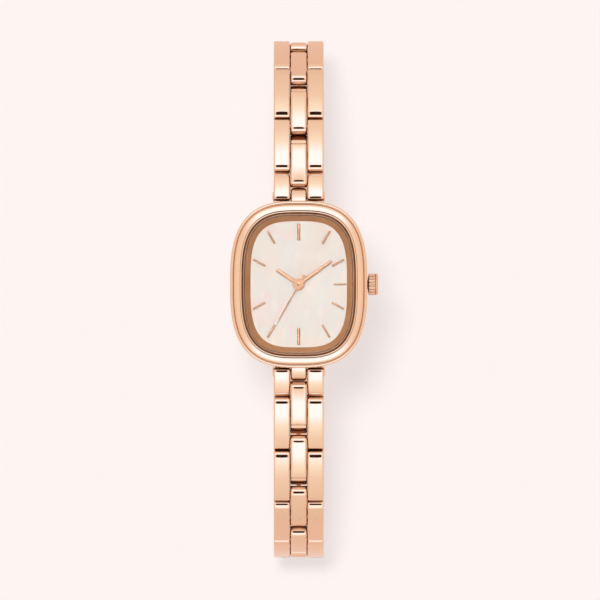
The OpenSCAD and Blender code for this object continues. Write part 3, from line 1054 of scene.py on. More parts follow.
# The narrow piece inside an outer bar's far end, which closes the gap to the next bar
KNUCKLE = Bar(
    OUTER_W - 0.3,
    10.33 - 1.2,
    10.33,
    top=0.6,
    bottom=-0.35,
    side=0.1,
    facet=NO_FACET,
    chin=BLUNT,
    nose=BLUNT,
    corners=BLUNT,
    ramp=(0.45, 0.35),
)
END_KNUCKLE = replace(KNUCKLE, near=3.93 - 1.2, far=3.93, top=0.35)
CENTRE_BAR = Bar(
    CENTRE_W,
    -1.1,
    6.0,
    side=0.45,
    facet=(0.0, 0.2),
    chin=(0.85, 0.86),
    lean=0.0,
    nose=(0.5, 0.45),
    corners=(0.2, 0.1),
    heel=(0.86, 0.0),
)
# The low part between a centre bar and the next one
STEP_BAR = Bar(
    CENTRE_W - 0.04, 4.5, 7.85, top=0.45, facet=NO_FACET, chin=BLUNT, nose=BLUNT, ramp=(1.4, 1.3)
)


class Recipes:
    """The three arrangements: bars side by side on a pin, batons and ribs."""

    # Squares from the middle of a face to its edge, and how many of them lie in the rounding
    HALF_STEPS = 7
    ROUND_STEPS = 5

    def __init__(self) -> None:
        """Builds the trees."""
        self.block = self.rounded_block()
        self.bars = self.side_by_side()
        self.batons = self.round_dial()
        self.ribs = self.round_axle()

    def rounded_block(self) -> Recipe:
        """Builds the block that batons and ribs repeat: a box with rounded edges and a curved top.

        Returns:
            The tree. Its edges are quarters of an ellipsoid with the given radii. It bends down
            towards its sides by Crown.
        """
        r = Recipe("rounded_block", {"Size": (1.0, 1.0, 1.0), "Rounding": (0.1, 0.1, 0.1), "Crown": 0.0})
        sides = {f"Vertices {axis}": 2 * self.HALF_STEPS + 1 for axis in "XYZ"}
        cube = r.add("GeometryNodeMeshCube", {"Size": (2.0, 2.0, 2.0), **sides})
        # Half the width of a face's flat middle, on a cube from -1 to 1
        flat = 1 - self.ROUND_STEPS / self.HALF_STEPS
        at = r.add("GeometryNodeInputPosition")
        core = r.vector("MAXIMUM", r.vector("MINIMUM", at, (flat,) * 3), (-flat,) * 3)
        past = r.vector("DIVIDE", r.vector("SUBTRACT", at, core), (1 - flat,) * 3)
        # Equal angles, not equal steps, along each rounding
        eased = [r.maths("TANGENT", r.maths("MULTIPLY", s, math.pi / 4)) for s in r.split(past)]
        away = r.vector("NORMALIZE", r.join(**dict(zip("XYZ", eased))))
        half = r.vector("MULTIPLY", r.get("Size"), (0.5, 0.5, 0.5))
        inner = r.vector("SUBTRACT", half, r.get("Rounding"))
        spread = r.vector("MULTIPLY", r.vector("DIVIDE", core, (flat,) * 3), inner)
        placed = r.vector("ADD", spread, r.vector("MULTIPLY", away, r.get("Rounding")))
        share = r.maths("ABSOLUTE", r.split(r.vector("DIVIDE", placed, half))["X"])
        drop = r.maths("MULTIPLY", r.maths("POWER", share, 2.0), r.get("Crown"))
        lowered = r.vector("ADD", placed, r.join(Z=r.maths("MULTIPLY", drop, -1.0)))
        return r.close(r.add("GeometryNodeSetPosition", {"Geometry": cube, "Position": lowered}))

    def side_by_side(self) -> Recipe:
        """Builds bars next to each other across a pin, bent over the wrist and sloping down.

        Returns:
            The tree. It takes one bar, drawn along +Y from its pin. Count of them stand Spacing
            apart along X. They bend to a radius of 1 / Curvature, and are highest at Crest.
        """
        numbers = ("Spacing", "Curvature", "Crest", "Rise", "Slope", "Turn")
        inputs = {"Bar": Recipe.GEOMETRY, "Material": None, "Count": 1, **dict.fromkeys(numbers, 0.0)}
        r = Recipe("bars_on_a_pin", {**inputs, "Pin": (0.0, 0.0, 0.0)})
        at = r.split(r.add("GeometryNodeInputPosition"))
        past = r.maths("SUBTRACT", at["Y"], r.get("Crest"))
        curved = r.maths("MULTIPLY", r.get("Curvature"), 0.5)
        drop = r.maths("MULTIPLY", r.maths("MULTIPLY", past, past), curved)
        shift = r.join(Z=r.maths("SUBTRACT", r.get("Rise"), drop))
        bent = r.add("GeometryNodeSetPosition", {"Geometry": r.get("Bar"), "Offset": shift})
        half_gap = r.maths("MULTIPLY", r.get("Spacing"), -0.5)
        first = r.maths("MULTIPLY", r.maths("SUBTRACT", r.get("Count"), 1.0), half_gap)
        wires = {
            "Count": r.get("Count"),
            "Start Location": r.join(X=first),
            "Offset": r.join(X=r.get("Spacing")),
        }
        line = r.add("GeometryNodeMeshLine", wires, mode="OFFSET")
        row = r.add("GeometryNodeInstanceOnPoints", {"Points": line, "Instance": bent})
        tilt = r.join(X=r.maths("MULTIPLY", r.get("Slope"), -1.0))
        sloped = r.add("GeometryNodeTransform", {"Geometry": row, "Rotation": tilt})
        wires = {"Geometry": sloped, "Rotation": r.join(Z=r.get("Turn")), "Translation": r.get("Pin")}
        return r.close(r.add("GeometryNodeTransform", wires))

    def arrange(
        self, name: str, inputs: dict[str, Any], angles: Callable[[Recipe, Any], Any], axis: str
    ) -> Recipe:
        """Builds Count rounded blocks that stand Reach from an axle, each turned with its place.

        Args:
            name: The tree's name.
            inputs: What it takes besides the block's own inputs and the material.
            angles: A function that adds the nodes for a block's angle from its number.
            axis: The axle, X or Z.

        Returns:
            The tree.
        """
        r = Recipe(name, {"Material": None, **self.block.defaults, **inputs})
        points = r.add("GeometryNodePoints", {"Count": r.get("Count")})
        angle = angles(r, r.add("GeometryNodeInputIndex"))
        far = [r.maths("MULTIPLY", r.maths(way, angle), r.get("Reach")) for way in ("SINE", "COSINE")]
        where = r.join(**dict(zip("YZ" if axis == "X" else "XY", far)))
        centre = r.vector("ADD", where, r.get("Centre"))
        placed = r.add("GeometryNodeSetPosition", {"Geometry": points, "Position": centre})
        turned = r.join(**{axis: r.maths("MULTIPLY", angle, -1.0)})
        wires = {label: r.get(label) for label in self.block.defaults}
        block = r.add("GeometryNodeGroup", wires, node_tree=self.block.tree)
        wires = {"Points": placed, "Instance": block, "Rotation": turned}
        return r.close(r.add("GeometryNodeInstanceOnPoints", wires))

    def round_dial(self) -> Recipe:
        """Builds the batons of one kind, mirrored about 12, 3, 6 and 9 o'clock.

        Returns:
            The tree. Baton i stands at 180 degrees times the whole part of (i + 1) / 2, plus the
            angle of the first one, turned the other way for every second baton.
        """

        def angle(r: Recipe, index: Any) -> Any:
            """Adds the nodes for one baton's angle."""
            half_turns = r.maths("FLOOR", r.maths("MULTIPLY", r.maths("ADD", index, 1.0), 0.5))
            odd = r.maths("MODULO", index, 2.0)
            sign = r.maths("SUBTRACT", 1.0, r.maths("MULTIPLY", odd, 2.0))
            turned = r.maths("MULTIPLY", r.get("Angle"), sign)
            return r.maths("ADD", r.maths("MULTIPLY", half_turns, math.pi), turned)

        inputs = {"Count": 4, "Angle": 0.0, "Reach": 0.01, "Centre": (0.0, 0.0, 0.0)}
        return self.arrange("batons_round_the_dial", inputs, angle, "Z")

    def round_axle(self) -> Recipe:
        """Builds ribs round an axle along X, each with its top facing outwards.

        Returns:
            The tree. Count ribs stand Reach from the axle, and Centre is the middle of the ring.
        """

        def angle(r: Recipe, index: Any) -> Any:
            """Adds the nodes for one rib's angle."""
            return r.maths("MULTIPLY", r.maths("DIVIDE", index, r.get("Count")), math.tau)

        inputs = {"Count": 18, "Reach": 0.001, "Centre": (0.0, 0.0, 0.0)}
        return self.arrange("ribs_round_an_axle", inputs, angle, "X")

    def hang(
        self,
        shell: Shell,
        bar: Bar,
        side: Side,
        pin: Vector,
        bend: float = 0.0,
        crest: float = 0.0,
        rise: float = 0.0,
        **more: Any,
    ) -> None:
        """Adds bars that point away from the case, with their pin at a given place.

        Args:
            shell: The shell that takes them.
            bar: The bar.
            side: The half of the bracelet.
            pin: The middle of the pin, in millimetres.
            bend: How they bend over the wrist, in degrees for each millimetre.
            crest: Where they are highest, in millimetres along them.
            rise: How far they are lifted before the bend, in millimetres.
            **more: Other inputs of the tree.
        """
        result = self.bars.run(
            bar.mesh(),
            Curvature=math.radians(bend) / MM,
            Crest=crest * MM,
            Rise=rise * MM,
            Turn=side.turn,
            Pin=tuple(pin * MM),
            **more,
        )
        shell.take(result)


@dataclass(frozen=True)
class Cushion:
    """The outline of the case: a superellipse that grows squarer as it shrinks."""

    half_w: float
    half_l: float
    power: float = 2.83
    tighten: float = 0.14
    # How many points the outline is first drawn with, before they are spaced evenly
    dense: int = 4096

    def ring(self, inset: float, height: float, count: int) -> list[Point]:
        """Gives points at equal spacing round the outline.

        Args:
            inset: How far the outline is drawn in.
            height: The height of the ring.
            count: The number of points.

        Returns:
            The points, anticlockwise from 3 o'clock.
        """
        p = 2 / (self.power + self.tighten * inset)
        sizes = (self.half_w - inset, self.half_l - inset)
        fine = []
        for i in range(self.dense):
            t = math.tau * i / self.dense
            ways = (math.cos(t), math.sin(t))
            fine.append(tuple(math.copysign(abs(w) ** p, w) * size for w, size in zip(ways, sizes)))
        fine.append(fine[0])
        run = [0.0]
        for a, b in zip(fine, fine[1:]):
            run.append(run[-1] + math.dist(a, b))
        points, k = [], 0
        for i in range(count):
            goal = run[-1] * i / count
            while run[k + 1] < goal:
                k += 1
            share = (goal - run[k]) / (run[k + 1] - run[k])
            x, y = (a + share * (b - a) for a, b in zip(fine[k], fine[k + 1]))
            points.append((x, y, height))
        return points


def curve(points: Sequence[tuple[float, float]], steps: int = 4) -> list[tuple[float, float]]:
    """Draws a smooth line through points, as a Catmull-Rom curve.

    Args:
        points: The points that the line passes through.
        steps: How many stretches lie between two of them.

    Returns:
        The points of the line, its two ends among them.
    """
    ends = [points[0], *points, points[-1]]
    line = []
    for knots in zip(ends, ends[1:], ends[2:], ends[3:]):
        for i in range(steps):
            t = i / steps
            point = []
            for a, b, c, d in zip(*knots):
                steep = 2 * a - 5 * b + 4 * c - d
                sharp = 3 * b - a - 3 * c + d
                point.append(0.5 * (2 * b + (c - a) * t + steep * t**2 + sharp * t**3))
            line.append(tuple(point))
    return [*line, points[-1]]


def scaled(x: float, y: float, z: float) -> Point:
    """Turns millimetres into metres.

    Args:
        x: The first number of a point or a size.
        y: The second.
        z: The third.

    Returns:
        The three numbers in metres.
    """
    return (x * MM, y * MM, z * MM)


def joint(frame: dict, name: str) -> Vector:
    """Finds where a joint of the frame is.

    Args:
        name: The joint's name.

    Returns:
        Its place in millimetres.
    """
    return Vector(next(j for j in frame["joints"] if j["name"] == name)["pos_m"]) / MM


def limits(node: str) -> list[Vector]:
    """Measures a CAD node.

    Args:
        node: The node's name.

    Returns:
        The lowest and the highest corner of its box, in millimetres.
    """
    return [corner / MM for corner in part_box(node)]


def heights(node: str) -> list[float]:
    """Measures how high a CAD node reaches.

    Args:
        node: The node's name.

    Returns:
        Its lowest and its highest point, in millimetres.
    """
    return [corner.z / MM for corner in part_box(node)]


def along_x(at: Vector, way: int = 1) -> Matrix:
    """Gives the place of an axis along X.

    Args:
        at: Where it starts.
        way: 1 where it points towards +X, and -1 where it points the other way.

    Returns:
        The matrix that brings +Z to it.
    """
    return Matrix.Translation(at) @ Matrix.Rotation(way * math.pi / 2, 4, "Y")


@dataclass
class Case:
    """The case: band with its lug nubs, bezel, crystal, seal, copper ring and back."""

    frame: dict
    recipes: Recipes
    steps: int = 256
    # Inset of the bezel's inner edge, the crystal's edge and the visible dial
    bezel_w: float = 2.0
    crystal_in: float = 2.15
    dial_in: float = 3.3
    wall: float = 2.35
    # Inset of the back's edge, and of the band's underside where it meets the back
    back_in: float = 0.62
    # How far the crystal's middle stands over its edge, and how far inside the edge that middle is
    dome: float = 0.1
    dome_reach: float = 8.4
    # The crown's tube
    tube_r: float = 0.72
    # How the nubs bend in degrees for each millimetre, where they are highest and their lift
    nub_bend: float = 13.0
    nub_crest: float = -1.9
    nub_rise: float = 0.42
    outline: Cushion = field(init=False)
    band: tuple[float, float] = field(init=False)

    def __post_init__(self) -> None:
        """Reads the sizes that the frame fixes."""
        low, high = limits("bezel")
        self.outline = Cushion((high.x - low.x) / 2, (high.y - low.y) / 2)
        self.band = (heights("case_body")[0], low.z)

    def swept(self, profile: Sequence[tuple[float, float]], around: bool = True) -> Shell:
        """Sweeps a profile round the outline.

        Args:
            profile: The inset and the height of its points.
            around: False where a flat face closes each end of the profile.

        Returns:
            The shell.
        """
        return Shell().loft([self.outline.ring(i, z, self.steps) for i, z in profile], around)

    def build(self) -> None:
        """Makes every piece of the case."""
        self.make_band()
        self.make_bezel()
        self.make_crystal()
        self.make_ring()
        self.make_back()

    def make_band(self) -> None:
        """Makes the band: slightly bulging sides, a nub at 12 and 6 and the crown's tube."""
        z0, z1 = self.band
        bulge = [(0.42, z0 + 0.1), (0.1, z0 + 0.9), (0.02, z0 + 2.1), (0.05, z1 - 0.55), (0.16, z1 - 0.2)]
        rim = [(0.3, z1 - 0.05), (0.3, z1), (self.wall, z1)]
        shell = self.swept([(self.wall, z0), (self.back_in, z0), *curve(bulge), *rim])
        reach = limits("case_body")[1].y
        pin = joint(self.frame, "lug_hinge_12")
        nub = replace(NUB, top=reach - pin.y, bottom=pin.y - reach)
        for side in Side:
            at = Vector((0, side.sign * pin.y, pin.z))
            self.recipes.hang(shell, nub, side, at, self.nub_bend, self.nub_crest, self.nub_rise)
        # The tube starts inside the band, at the height of the crown's axis
        start = Vector((self.outline.half_w - 0.5, 0, sum(heights("crown")) / 2))
        shell.turn([(self.tube_r, -0.8), (self.tube_r, 0.7), (self.tube_r - 0.1, 0.8)], along_x(start))
        shell.piece("case_band", "head", "case_body", "rose_gold_steel")

    def make_bezel(self) -> None:
        """Makes the bezel: a thin flange, a groove and a rounded ridge that falls to the crystal."""
        z = self.band[1]
        top = heights("bezel")[1]
        rise = [(0.0, 0.14), (0.07, 0.3), (0.25, 0.4), (0.42, 0.43), (0.58, 0.36)]
        # The ridge from the groove to its top, then down to the crystal, as inset and depth
        outer = [(0.62, 0.45), (0.65, 0.34), (0.74, 0.26), (0.88, 0.19), (1.05, 0.13), (1.25, 0.07)]
        outside = curve([*outer, (1.42, 0.025), (1.54, 0)], 3)
        inside = curve([(1.66, 0.0), (1.74, 0.02), (1.81, 0.07), (1.87, 0.16), (1.92, 0.3), (1.94, 0.6)], 3)
        lip = curve([(1.95, 0.6), (1.965, 0.55), (1.985, 0.55), (self.bezel_w, 0.6)], 3)
        flange = [(0.02, z), (0.0, z + 0.04), *curve([(i, z + h) for i, h in rise], 3), (0.61, z + 0.36)]
        ridge = [(i, top - d) for i, d in [*outside, *inside, *lip]]
        shell = self.swept([(self.bezel_w, z), *flange, *ridge])
        look = "polished_rose_gold_bezel"
        shell.piece("bezel_ring", "head", "bezel", "rose_gold_steel", crease=40, look=look)

    def make_crystal(self) -> None:
        """Makes the crystal, slightly domed with a ground edge, and the seal round it."""
        z = self.band[1]
        top = heights("crystal")[1]
        e = self.crystal_in
        # The edge is ground away over this width and depth, and the dome is drawn at these distances
        # inside it
        wide, deep = 0.12, 0.25
        rings = (0.0, 1.3, 2.9, 4.7, 6.5, 8.1)
        dome = [(e + wide + d, top - self.dome * (1 - d / self.dome_reach) ** 2) for d in rings]
        shell = self.swept([(e, z), (e, top - deep), *dome], around=False)
        shell.piece("domed_crystal", "head", "crystal", "mineral_glass", crease=25)
        # The seal fills the gap between the bezel and the crystal with this much play
        play, tall = 0.02, 0.55
        s = self.bezel_w + play
        seal = self.swept([(s, z), (e - play, z), (e - play, z + tall), (s, z + tall)])
        seal.piece("crystal_gasket", "head", "crystal_seal", "seal_rubber")

    def make_ring(self) -> None:
        """Makes the sloping copper ring between the crystal and the dial."""
        low, high = heights("dial_ring")
        outer = self.wall + 0.05
        rim = [(outer, low), (outer, high), (outer + 0.06, high)]
        fall = [(outer + 0.1, high - 0.02), (2.68, high - 0.4), (3.0, low + 0.42)]
        slope = curve([*fall, (self.dial_in, low + 0.06)], 3)
        shell = self.swept([*rim, *slope, (self.dial_in, low)])
        shell.piece("sloping_ring", "head", "dial_ring", "copper_lacquer")

    def make_back(self) -> None:
        """Makes the pressed-in back, with a step round it and a slightly dished centre."""
        low, high = heights("case_back")
        edge = [(self.back_in, high), (0.6, high - 0.3), (0.8, high - 0.42), (1.7, high - 0.45)]
        dish = [(1.78, low + 0.08), (1.9, low), (3.2, low), (3.3, low + 0.06)]
        shell = self.swept([*edge, *dish], around=False)
        shell.piece("case_back_disc", "head", "case_back", "satin_rose_gold_steel", crease=25)


@dataclass(frozen=True)
class Baton:
    """One kind of hour marker: its turn from 12, where its outer tip is, and its size."""

    turn: float
    tip: float
    length: float
    width: float
    count: int


@dataclass(frozen=True)
class Hand:
    """One hand: a tapered baton with a rounded top on a ring-shaped hub."""

    # Its node and body
    name: str
    # Degrees clockwise from 12 o'clock
    turn: float
    length: float
    # Its width at the hub and near the tip
    root: float
    tip: float
    # The radius of the hub, and of its hole, or 0 where a cap closes it
    hub: float
    hole: float
    # The length of the tail, or 0 for none
    tail: float = 0.0
    # The share of its thickness that is rounded
    dome: float = 0.65

    def build(self) -> None:
        """Makes the hand as high as its CAD node."""
        low, high = heights(self.name)
        shell = Shell()
        ends = [(0.5, 1.0), (0.25, 0.87), (0.08, 0.6), (0.0, 0.25)]
        blade = [(0.5 * self.hub, self.root)]
        blade += [(self.length - back * self.tip, share * self.tip) for back, share in ends]
        shell.loft([self.cut(y, w, low, high) for y, w in blade])
        if self.tail:
            shell.loft([self.cut(y, w, low, high) for y, w in ((-0.5 * self.hub, 0.2), (-self.tail, 0.5))])
        r, hole = self.hub, self.hole
        edge = [(r - 0.04, low), (r, low + 0.03), (r, high - 0.04), (r - 0.05, high)]
        if hole:
            rim = [(hole + 0.05, high), (hole, high - 0.04), (hole, low)]
        else:
            rim = [(0.3, high), (0.28, high - 0.03), (0.02, low + 0.02)]
        shell.turn([*edge, *rim], Matrix(), around=hole > 0)
        shell.piece(self.name + "_baton", self.name, self.name, "rose_gold_brass", crease=25)

    def cut(self, y: float, width: float, low: float, high: float) -> list[Vector]:
        """Gives the cross-section at one place along the hand.

        Args:
            y: Distance from the centre.
            width: The hand's width there.
            low: The height of its underside.
            high: The height of its ridge.

        Returns:
            The points of the section: a flat underside and a rounded top.
        """
        half, rise = width / 2, high - low
        arc = [math.radians(a) for a in range(0, 181, 20)]
        top = [(half * math.cos(a), low + rise * (1 - self.dome + self.dome * math.sin(a))) for a in arc]
        turned = Matrix.Rotation(-math.radians(self.turn), 4, "Z")
        return [turned @ Vector((x, y, z)) for x, z in [(half, low), *top, (-half, low)]]


@dataclass
class Dial:
    """The applied markers and the three hands; the dial itself keeps its CAD shape."""

    recipes: Recipes
    # A marker's bevel along its sides, as a share of its width, and otherwise in millimetres
    side_bevel: float = 0.34
    bevel: float = 0.12
    # How far its top curves down to its sides
    crown: float = 0.03
    kinds: tuple[Baton, ...] = (
        Baton(0, 9.7, 2.7, 0.5, 2),
        Baton(30.3, 9.9, 2.4, 0.36, 4),
        Baton(61.3, 8.28, 2.23, 0.36, 4),
        Baton(90, 7.6, 2.05, 0.3, 2),
    )
    hands: tuple[Hand, ...] = (
        Hand("hour_hand", 303.5, 4.27, 0.66, 0.6, hub=0.97, hole=0.6),
        Hand("minute_hand", 54.3, 6.5, 0.66, 0.44, hub=0.8, hole=0.36),
        Hand("second_hand", 209.7, 7.0, 0.22, 0.15, hub=0.6, hole=0.0, tail=1.8, dome=0.1),
    )

    def build(self) -> None:
        """Makes the twelve raised batons with their bevelled edges, and the hands."""
        low, high = heights("hour_markers")
        shell = Shell()
        for kind in self.kinds:
            batons = self.recipes.batons.run(
                Size=scaled(kind.width, kind.length, high - low),
                Rounding=scaled(kind.width * self.side_bevel, self.bevel, self.bevel),
                Crown=self.crown * MM,
                Count=kind.count,
                Angle=math.radians(kind.turn),
                Reach=(kind.tip - kind.length / 2) * MM,
                Centre=scaled(0, 0, (low + high) / 2),
            )
            shell.take(batons)
        shell.piece("applied_markers", "head", "hour_markers", "rose_gold_brass")
        for hand in self.hands:
            hand.build()


@dataclass
class Crown:
    """The crown: a barrel with straight ribs, a smooth rounded end and a dished foot."""

    recipes: Recipes
    ribs: int = 18
    # The share of the barrel that the ribs cover, and the length that stays smooth
    cover: float = 0.8
    smooth: float = 0.42
    # How far the barrel lies below the smooth end
    sunk: float = 0.13
    # A rib's height, and how much shorter than the barrel it is
    rib_h: float = 0.3
    rib_short: float = 0.1

    def build(self) -> None:
        """Makes the crown from the size of its CAD node."""
        low, high = limits("crown")
        radius, length = (high.y - low.y) / 2, high.x - low.x
        start = Vector((low.x, 0, (low.z + high.z) / 2))
        band = length - self.smooth
        root = radius - self.sunk
        foot = [(0.84, 0.5), (0.84, 0.05), (0.9, 0.0), (root - 0.42, 0.0), (root, 0.28)]
        shoulder = [(root, band), (radius - 0.04, band + 0.03), (radius, band + 0.08)]
        fall = [(0.02, 0.22), (0.1, 0.1), (0.26, 0.02), (0.5, 0.0)]
        end = [*((radius - r, length - h) for r, h in fall), (0.4, length)]
        shell = Shell().turn([*foot, *shoulder, *end], along_x(start), steps=96)
        rib_w = self.cover * math.tau * radius / self.ribs
        ribs = self.recipes.ribs.run(
            Size=scaled(band - self.rib_short, rib_w, self.rib_h),
            Rounding=scaled(0.08, rib_w * 0.42, 0.14),
            Count=self.ribs,
            Reach=(radius - self.rib_h / 2) * MM,
            Centre=scaled(start.x + self.rib_short / 2 + band / 2, 0, start.z),
        )
        shell.take(ribs)
        shell.piece("fluted_crown", "crown", "crown", "rose_gold_steel", look="tumbled_rose_gold_steel")


@dataclass
class Bracelet:
    """The end links and the H-links, each a pair of outer bars and a centre bar on pins."""

    frame: dict
    recipes: Recipes
    links: int = 7
    spacing: float = 5.4
    width: float = 8.0
    thick: float = 1.9
    pitch: float = 9.0
    # Where a link's cross pin is, as a share of the way from its first pin to its second
    cross: float = 0.48
    pin_r: float = 0.45
    # How far the link pins stay inside the bracelet, and the lug pins stand out of it, in all
    pin_short: float = 0.8
    pin_proud: float = 0.1
    # How the links bend over the wrist, in degrees for each millimetre
    bend: float = 2.3
    # The link beside the clasp is flatter, so that the leaf clears it
    bends: dict[str, float] = field(default_factory=lambda: {"12_7": 1.15})
    # Where a link is highest, along it; some lean a little further out or in
    crest: float = 4.5
    crests: dict[str, float] = field(
        default_factory=lambda: {"12_1": 3.4, "12_2": 5.8, "12_7": 5.7, "6_1": 3.3, "6_2": 3.9}
    )
    # The same for an end link, and its lift before the bend
    end_bend: float = 4.6
    end_crest: float = -1.6
    end_rise: float = 0.42

    def pins(self, side: Side) -> list[Vector]:
        """Finds the pins of one side, from the end link's outer pin to the clasp.

        Args:
            side: The half of the bracelet.

        Returns:
            The places of the pins in millimetres.
        """
        names = [f"link_hinge_{side.value}_{k}" for k in range(1, self.links + 1)]
        found = [joint(self.frame, name) for name in names]
        if side is Side.SIX:
            found.append(joint(self.frame, "cover_hinge"))
        else:
            high = limits("clasp_inner_leaf")[1]
            found.append(Vector((0, high.y - self.thick / 2, high.z - self.thick / 2)))
        return found

    def slope(self, a: Vector, b: Vector, side: Side) -> float:
        """Gives how steeply the line from one pin to the next falls.

        Args:
            a: The pin nearer to the case.
            b: The next pin.
            side: The half of the bracelet.

        Returns:
            The angle in radians.
        """
        return math.atan2(a.z - b.z, side.sign * (b.y - a.y))

    def pin(self, shell: Shell, at: Vector, length: float) -> None:
        """Adds a round pin across the bracelet, its ends slightly rounded.

        Args:
            shell: The shell that takes it.
            at: The middle of the pin.
            length: The pin's length.
        """
        r, h, edge = self.pin_r, length / 2, 0.06
        profile = [(r - edge, -h), (r, -h + edge), (r, h - edge), (r - edge, h)]
        shell.turn(profile, along_x(at), steps=24)

    def build(self) -> None:
        """Makes both halves of the bracelet."""
        for side in Side:
            pins = self.pins(side)
            self.make_end(side, pins[0])
            for k in range(1, self.links + 1):
                self.make_link(side, k, pins[k - 1], pins[k])

    def make_end(self, side: Side, outer: Vector) -> None:
        """Makes an end link: two short domed bars, its hinge pin and the lug pin's domed heads.

        Args:
            side: The half of the bracelet.
            outer: The end link's outer pin.
        """
        lug = joint(self.frame, f"lug_hinge_{side.value}")
        shell = Shell()
        pair = {"Count": 2, "Spacing": self.spacing * MM, "Slope": self.slope(lug, outer, side)}
        curved = (self.end_bend, self.end_crest, self.end_rise)
        self.recipes.hang(shell, END_BAR, side, lug, *curved, **pair)
        self.recipes.hang(shell, END_KNUCKLE, side, lug, **pair)
        self.pin(shell, outer, self.width - self.pin_short)
        self.pin(shell, lug, self.width + self.pin_proud)
        # The domed head of the lug pin, as radius and height
        head = [(0.8, -0.02), (0.8, 0.04), (0.72, 0.12), (0.5, 0.19), (0.2, 0.22)]
        for way in (1, -1):
            shell.turn(head, along_x(lug + Vector((way * self.width / 2, 0, 0)), way), steps=32)
        name = f"end_link_{side.value}"
        shell.piece(name + "_bars", f"end_{side.value}", name, "rose_gold_steel")

    def make_link(self, side: Side, k: int, pin: Vector, far: Vector) -> None:
        """Makes one H-link: the outer pair with its hinge pin, and the centre bar with its step.

        Args:
            side: The half of the bracelet.
            k: The link's number, counted from the case.
            pin: Its first pin.
            far: Its second pin.
        """
        number = f"{side.value}_{k}"
        bend = self.bends.get(number, self.bend)
        rise = math.radians(bend) / 2 * (self.pitch / 2) ** 2
        curved = (bend, self.crests.get(number, self.crest), rise)
        slope = self.slope(pin, far, side)
        outer, center = Shell(), Shell()
        # The last link of the 12 side ends in the clasp, with no knuckle or pin of its own there
        last = side is Side.TWELVE and k == self.links
        for bar in [LAST_BAR] if last else [OUTER_BAR, KNUCKLE]:
            pair = {"Count": 2, "Spacing": self.spacing * MM, "Slope": slope}
            self.recipes.hang(outer, bar, side, pin, *curved, **pair)
        if not last:
            self.pin(outer, far, self.width - self.pin_short)
        outer.piece(f"link_{number}_outer", f"link_{number}", f"outer_links_{number}", "rose_gold_steel")
        for bar in (CENTRE_BAR, STEP_BAR):
            self.recipes.hang(center, bar, side, pin, *curved, Slope=slope)
        self.pin(center, pin + (far - pin) * self.cross, self.width - self.pin_short)
        center.piece(f"link_{number}_centre", f"link_{number}", f"center_link_{number}", "rose_gold_steel")


@dataclass
class Clasp:
    """The folding clasp, in its CAD shape with its edges broken."""

    frame: dict
    bevel: float = 0.1
    # Edges flatter than the first angle go, and those sharper than the second are broken
    flat: float = 2.0
    sharp: float = 50.0
    # Points closer than this, in metres, are one, before the edges are broken and after
    merge: tuple[float, float] = (1e-6, 1e-7)
    bodies: tuple[str, ...] = ("cover", "middle_leaf", "inner_leaf")

    def build(self) -> None:
        """Copies each CAD piece of the clasp, merges it and rounds its edges."""
        slots = {part["node"]: part["material_slot"] for part in self.frame["record"]["subparts"]}
        for body in self.bodies:
            node = "clasp_" + body
            data = self.frame["nodes"][node].data.copy()
            work = bmesh.new()
            work.from_mesh(data)
            bmesh.ops.remove_doubles(work, verts=work.verts, dist=self.merge[0])
            limit = math.radians(self.flat)
            bmesh.ops.dissolve_limit(
                work, angle_limit=limit, verts=work.verts, edges=work.edges, delimit={"NORMAL"}
            )
            limit = math.radians(self.sharp)
            edges = [e for e in work.edges if len(e.link_faces) == 2 and e.calc_face_angle() > limit]
            bmesh.ops.bevel(
                work,
                geom=edges,
                offset=self.bevel * MM,
                segments=3,
                profile=0.5,
                affect="EDGES",
                clamp_overlap=True,
            )
            bmesh.ops.remove_doubles(work, verts=work.verts, dist=self.merge[1])
            work.to_mesh(data)
            work.free()
            enrol(node + "_finished", data, body, [node], slots[node], crease=30)


